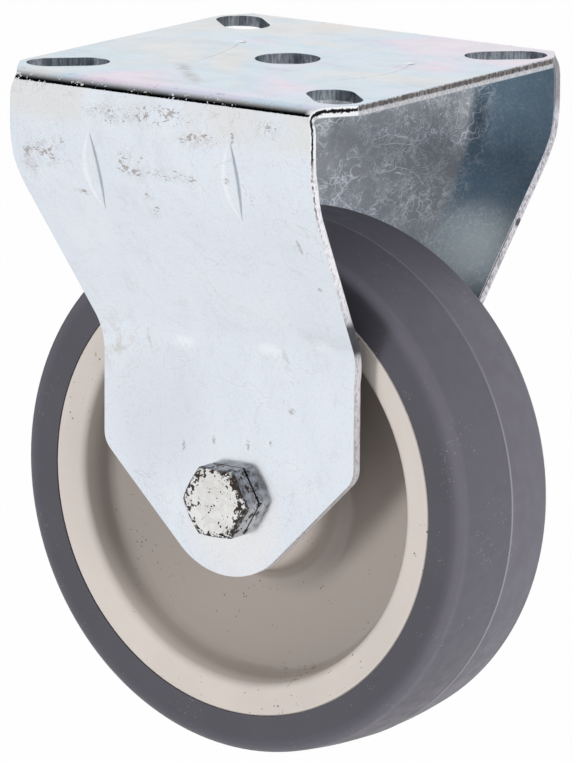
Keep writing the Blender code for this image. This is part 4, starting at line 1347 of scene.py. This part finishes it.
class CASTOR_OT_axle_bolt(bpy.types.Operator):
    """Turn the axle bolt with its chamfered hexagon head and threaded end"""

    bl_idname = "castor.axle_bolt"
    bl_label = "Axle bolt"

    def execute(self, context):
        sizes = context.scene.castor_sizes
        clamp = -FORK_OUTER_Y - SEAT
        face = clamp - HEAD_HEIGHT
        thread_end = BOLT_TIP - TIP_CHAMFER
        thread_start = thread_end - THREAD_TURNS * sizes.thread_pitch
        section = [(face, 0.0)] + chamfered_end(face, 1)
        section.append((clamp, section[-1][1]))
        section.append((clamp, BOLT_RADIUS + 0.0008))
        section.append((clamp + 0.0003, BOLT_RADIUS))
        section.append((thread_start - 0.0004, BOLT_RADIUS))
        section += thread_section(thread_start, thread_end, sizes.thread_pitch, sizes.thread_depth)
        section.append((BOLT_TIP, BOLT_RADIUS - 0.0012))
        section.append((BOLT_TIP, 0.0))
        piece = turned("axle_bolt_worn", section, 72, True)
        carve(piece, [hexagon_tool("head_tool", face - 0.002, clamp + 0.0001)])
        for vertex in piece.data.vertices:
            if vertex.co.y < clamp + 0.00001:
                vertex.co.z -= HEAD_DROP
        soften(piece, 0.00022, 2, math.radians(40))
        centre = (0, 0, AXLE_Z - HEAD_DROP)
        material = worn_bolt(context.scene.castor_finishes, "worn_bolt_zinc", 1.0, face, centre)
        finish_piece(piece, material, "fork", "bolt_steel", "axle_bolt")
        return {"FINISHED"}


class CASTOR_OT_lock_nut(bpy.types.Operator):
    """Turn the lock nut and its nylon ring"""

    bl_idname = "castor.lock_nut"
    bl_label = "Lock nut"

    def execute(self, context):
        finish = context.scene.castor_finishes
        face = NUT_LOW.y
        hex_end = face + NUT_HEX_HEIGHT
        end = NUT_HIGH.y
        bore = BOLT_RADIUS + 0.0003
        groove = bore + 0.0013
        insert_low, insert_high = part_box("nut_insert")[0].y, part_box("nut_insert")[1].y
        section = chamfered_end(face, 1) + list(reversed(chamfered_end(hex_end, -1)))
        collar = rounded_line([
            ((hex_end, NUT_COLLAR_RADIUS), 0, 0), ((end, NUT_COLLAR_RADIUS), 0.0008, 5),
            ((end, groove - 0.0006), 0, 0)])
        section += [tuple(point) for point in collar]
        section += [(end - 0.0004, groove - 0.0006), (end - 0.0004, groove)]
        section += [(insert_low - 0.0003, groove), (insert_low - 0.0003, bore)]
        section += [(face + 0.0006, bore), (face, bore + 0.0006)]
        piece = turned("lock_nut_collared", section, 72, False)
        carve(piece, [hexagon_tool("nut_tool", face - 0.0002, hex_end)])
        soften(piece, 0.00014, 2, math.radians(40))
        zinc = worn_bolt(finish, "worn_nut_zinc", 0.5, end, (0, 0, AXLE_Z))
        finish_piece(piece, zinc, "fork", "bolt_steel", "lock_nut")
        outer = bore + 0.001
        ring = [(insert_low, bore), (insert_low, outer), (insert_high, outer), (insert_high, bore)]
        insert = turned("nylon_ring", ring, 64, False)
        soften(insert, 0.00015, 3, math.radians(40))
        nylon = moulded_plastic("nylon_white", (0.74, 0.76, 0.80), 0.38, 0.2)
        finish_piece(insert, nylon, "fork", "nylon", "nut_insert")
        return {"FINISHED"}


class CASTOR_OT_bearing(bpy.types.Operator):
    """Finish the sleeve, thrust washers, cage and rollers"""

    bl_idname = "castor.bearing"
    bl_label = "Bearing"

    def execute(self, context):
        steel = ground_steel("bearing_steel_ground", (0.56, 0.56, 0.57), 0.22)
        bright = ground_steel("roller_steel_polished", (0.62, 0.62, 0.63), 0.14)
        dark = moulded_plastic("cage_black_plastic", (0.045, 0.045, 0.05), 0.42, 0.1)
        for name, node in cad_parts.items():
            if name.startswith("roller_") and name != "roller_cage":
                chosen = bright
            elif name == "roller_cage":
                chosen = dark
            elif name in ("axle_sleeve", "thrust_washer_near", "thrust_washer_far"):
                chosen = steel
            else:
                continue
            node.data.materials.clear()
            node.data.materials.append(chosen)
        return {"FINISHED"}


def light_level(wire, seen, lit):
    """A background of one strength for camera and mirror rays and another for the light it gives."""
    path = wire.tree.nodes.new("ShaderNodeLightPath").outputs
    mirror = wire.sum("MAXIMUM", path["Is Glossy Ray"], path["Is Transmission Ray"])
    watched = wire.sum("MAXIMUM", path["Is Camera Ray"], mirror)
    return wire.ramp(watched, 0.0, 1.0, lit, seen, smooth=False)


def soft_lamp(name, place, aim, width, height, power, in_mirrors):
    """A large area lamp turned towards a point."""
    start_clean()
    bpy.ops.object.light_add(type="AREA", location=place)
    lamp = bpy.context.object
    lamp.name = name
    lamp.data.shape = "RECTANGLE"
    lamp.data.size = width
    lamp.data.size_y = height
    lamp.data.energy = power
    lamp.rotation_euler = (Vector(place) - Vector(aim)).to_track_quat("Z", "Y").to_euler()
    lamp.visible_glossy = in_mirrors
    return lamp


class CASTOR_OT_studio(bpy.types.Operator):
    """Set the floor, backdrop, lamps and camera"""

    bl_idname = "castor.studio"
    bl_label = "Studio"

    def execute(self, context):
        studio = context.scene.castor_studio
        start_clean()
        bpy.ops.mesh.primitive_plane_add(size=8, location=(0, 0, -0.0002))
        floor = take("studio_floor")
        material, wire, shader, _ = new_material("pale_floor")
        shader.inputs["Base Color"].default_value = (0.94, 0.94, 0.94, 1)
        shader.inputs["Roughness"].default_value = 1.0
        glow = wire.tree.nodes.new("ShaderNodeEmission")
        glow.inputs["Color"].default_value = (1, 1, 1, 1)
        blend = wire.tree.nodes.new("ShaderNodeMixShader")
        wire.join(light_level(wire, 0.985, 0.64), blend.inputs[0])
        wire.join(shader.outputs[0], blend.inputs[1])
        wire.join(glow.outputs[0], blend.inputs[2])
        wire.join(blend.outputs[0], wire.tree.nodes["Material Output"].inputs["Surface"])
        floor.data.materials.append(material)
        self.set_cards()
        world = bpy.data.worlds.new("studio_white")
        world.use_nodes = True
        context.scene.world = world
        wire = Wiring(world.node_tree)
        sky = world.node_tree.nodes["Background"]
        sky.inputs["Color"].default_value = (1, 1, 1, 1)
        wire.join(light_level(wire, 1.0, studio.fill_light), sky.inputs["Strength"])
        aim = (0, 0, 0.08)
        soft_lamp("key_lamp", (-0.50, -1.28, 0.30), aim, 0.30, 0.55, studio.key_light, False)
        soft_lamp("side_lamp", (1.30, -0.10, 0.36), aim, 0.8, 0.7, studio.side_light, False)
        self.add_glow_card("front_glow", (0.05, -0.70, -0.02), (0.55, 0.24), aim, 1.25)
        self.set_camera(context, studio)
        context.scene.view_settings.view_transform = "Standard"
        return {"FINISHED"}

    def mirror_card(self, name, centre, size, turn):
        """An empty card seen only in mirrors, with its glow's wiring for the caller to set."""
        start_clean()
        bpy.ops.mesh.primitive_plane_add(size=1)
        card = take(name)
        for vertex in card.data.vertices:
            vertex.co.x *= size[0]
            vertex.co.y *= size[1]
        card.location = centre
        card.rotation_euler = turn
        material, wire, _, place = new_material(name + "_face")
        glow = wire.tree.nodes.new("ShaderNodeEmission")
        wire.join(glow.outputs[0], wire.tree.nodes["Material Output"].inputs["Surface"])
        card.data.materials.append(material)
        card.visible_camera = False
        card.visible_diffuse = False
        card.visible_shadow = False
        return wire, place, glow.inputs["Strength"]

    def add_card(self, name, centre, size, turn, low, high):
        """A dark card whose glow rises to white between two places along it."""
        wire, place, strength = self.mirror_card(name, centre, size, turn)
        wire.join(wire.ramp(wire.axes(place)[1], low, high), strength)

    def add_glow_card(self, name, centre, size, aim, strength):
        """An evenly bright card: the softbox's reflection."""
        turn = (Vector(aim) - Vector(centre)).to_track_quat("Z", "Y").to_euler()
        wire, _, socket = self.mirror_card(name, centre, size, turn)
        wire.join(strength, socket)

    def set_cards(self):
        """Dark cards which draw the line along the folds and shade the ribs."""
        towards = Vector((-0.57, 0.0, 0.80)).normalized()
        tilt = (0, math.atan2(-towards.x, -towards.z) + math.pi, 0)
        centre = towards * 1.2 + Vector((0, 0.115, 0.12))
        self.add_card("fold_card", centre, (0.50, 1.67), tilt, -0.60, 0.50)
        left = Vector((-1.0, 0.05, 0.06))
        facing = left.to_track_quat("Z", "Y").to_euler()
        self.add_card("left_card", left * 0.42 + Vector((0, 0.08, 0)), (0.30, 0.56), facing, 0.5, 0.6)

    def set_camera(self, context, studio):
        """Camera at the castor's own view: aimed at a height over the floor and rolled slightly."""
        level = Vector((math.sin(studio.azimuth), -math.cos(studio.azimuth), 0)) * math.cos(studio.elevation)
        back = level + Vector((0, 0, math.sin(studio.elevation)))
        start_clean()
        bpy.ops.object.camera_add(location=Vector((0, 0, studio.aim_height)) + back * studio.distance)
        camera = bpy.context.object
        camera.name = "view_camera"
        turn = (-back).to_track_quat("-Z", "Y").to_matrix() @ Matrix.Rotation(studio.roll, 3, "Z")
        camera.rotation_euler = turn.to_euler()
        camera.data.sensor_width = 36.0
        camera.data.lens = studio.lens
        camera.data.clip_end = 20.0
        context.scene.camera = camera


class CASTOR_PT_panel(bpy.types.Panel):
    """Lists the castor's pieces with their sizes and finishes"""

    bl_label = "Fixed castor"
    bl_idname = "CASTOR_PT_panel"
    bl_space_type = "VIEW_3D"
    bl_region_type = "UI"
    bl_category = "Castor"

    def draw(self, context):
        scene = context.scene
        for group in (scene.castor_sizes, scene.castor_finishes, scene.castor_studio):
            box = self.layout.box()
            for name in group.__annotations__:
                box.prop(group, name)
        for operator in OPERATORS:
            self.layout.operator(operator.bl_idname)


OPERATORS = (
    CASTOR_OT_bracket,
    CASTOR_OT_wheel_centre,
    CASTOR_OT_tyre,
    CASTOR_OT_axle_bolt,
    CASTOR_OT_lock_nut,
    CASTOR_OT_bearing,
    CASTOR_OT_studio,
)
GROUPS = (
    ("castor_sizes", CastorSizes),
    ("castor_finishes", CastorFinishes),
    ("castor_studio", CastorStudio),
)


def register():
    """Add the castor's settings, operators and panel."""
    for name, group in GROUPS:
        bpy.utils.register_class(group)
        setattr(bpy.types.Scene, name, bpy.props.PointerProperty(type=group))
    for operator in OPERATORS:
        bpy.utils.register_class(operator)
    bpy.utils.register_class(CASTOR_PT_panel)


def unregister():
    """Remove the castor's settings, operators and panel."""
    bpy.utils.unregister_class(CASTOR_PT_panel)
    for operator in reversed(OPERATORS):
        bpy.utils.unregister_class(operator)
    for name, group in reversed(GROUPS):
        delattr(bpy.types.Scene, name)
        bpy.utils.unregister_class(group)


def main():
    """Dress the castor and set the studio."""
    register()
    for operator in OPERATORS:
        group, name = operator.bl_idname.split(".")
        if getattr(getattr(bpy.ops, group), name)() != {"FINISHED"}:
            raise RuntimeError(f"{operator.bl_label} did not finish")


if __name__ == "__main__":
    main()
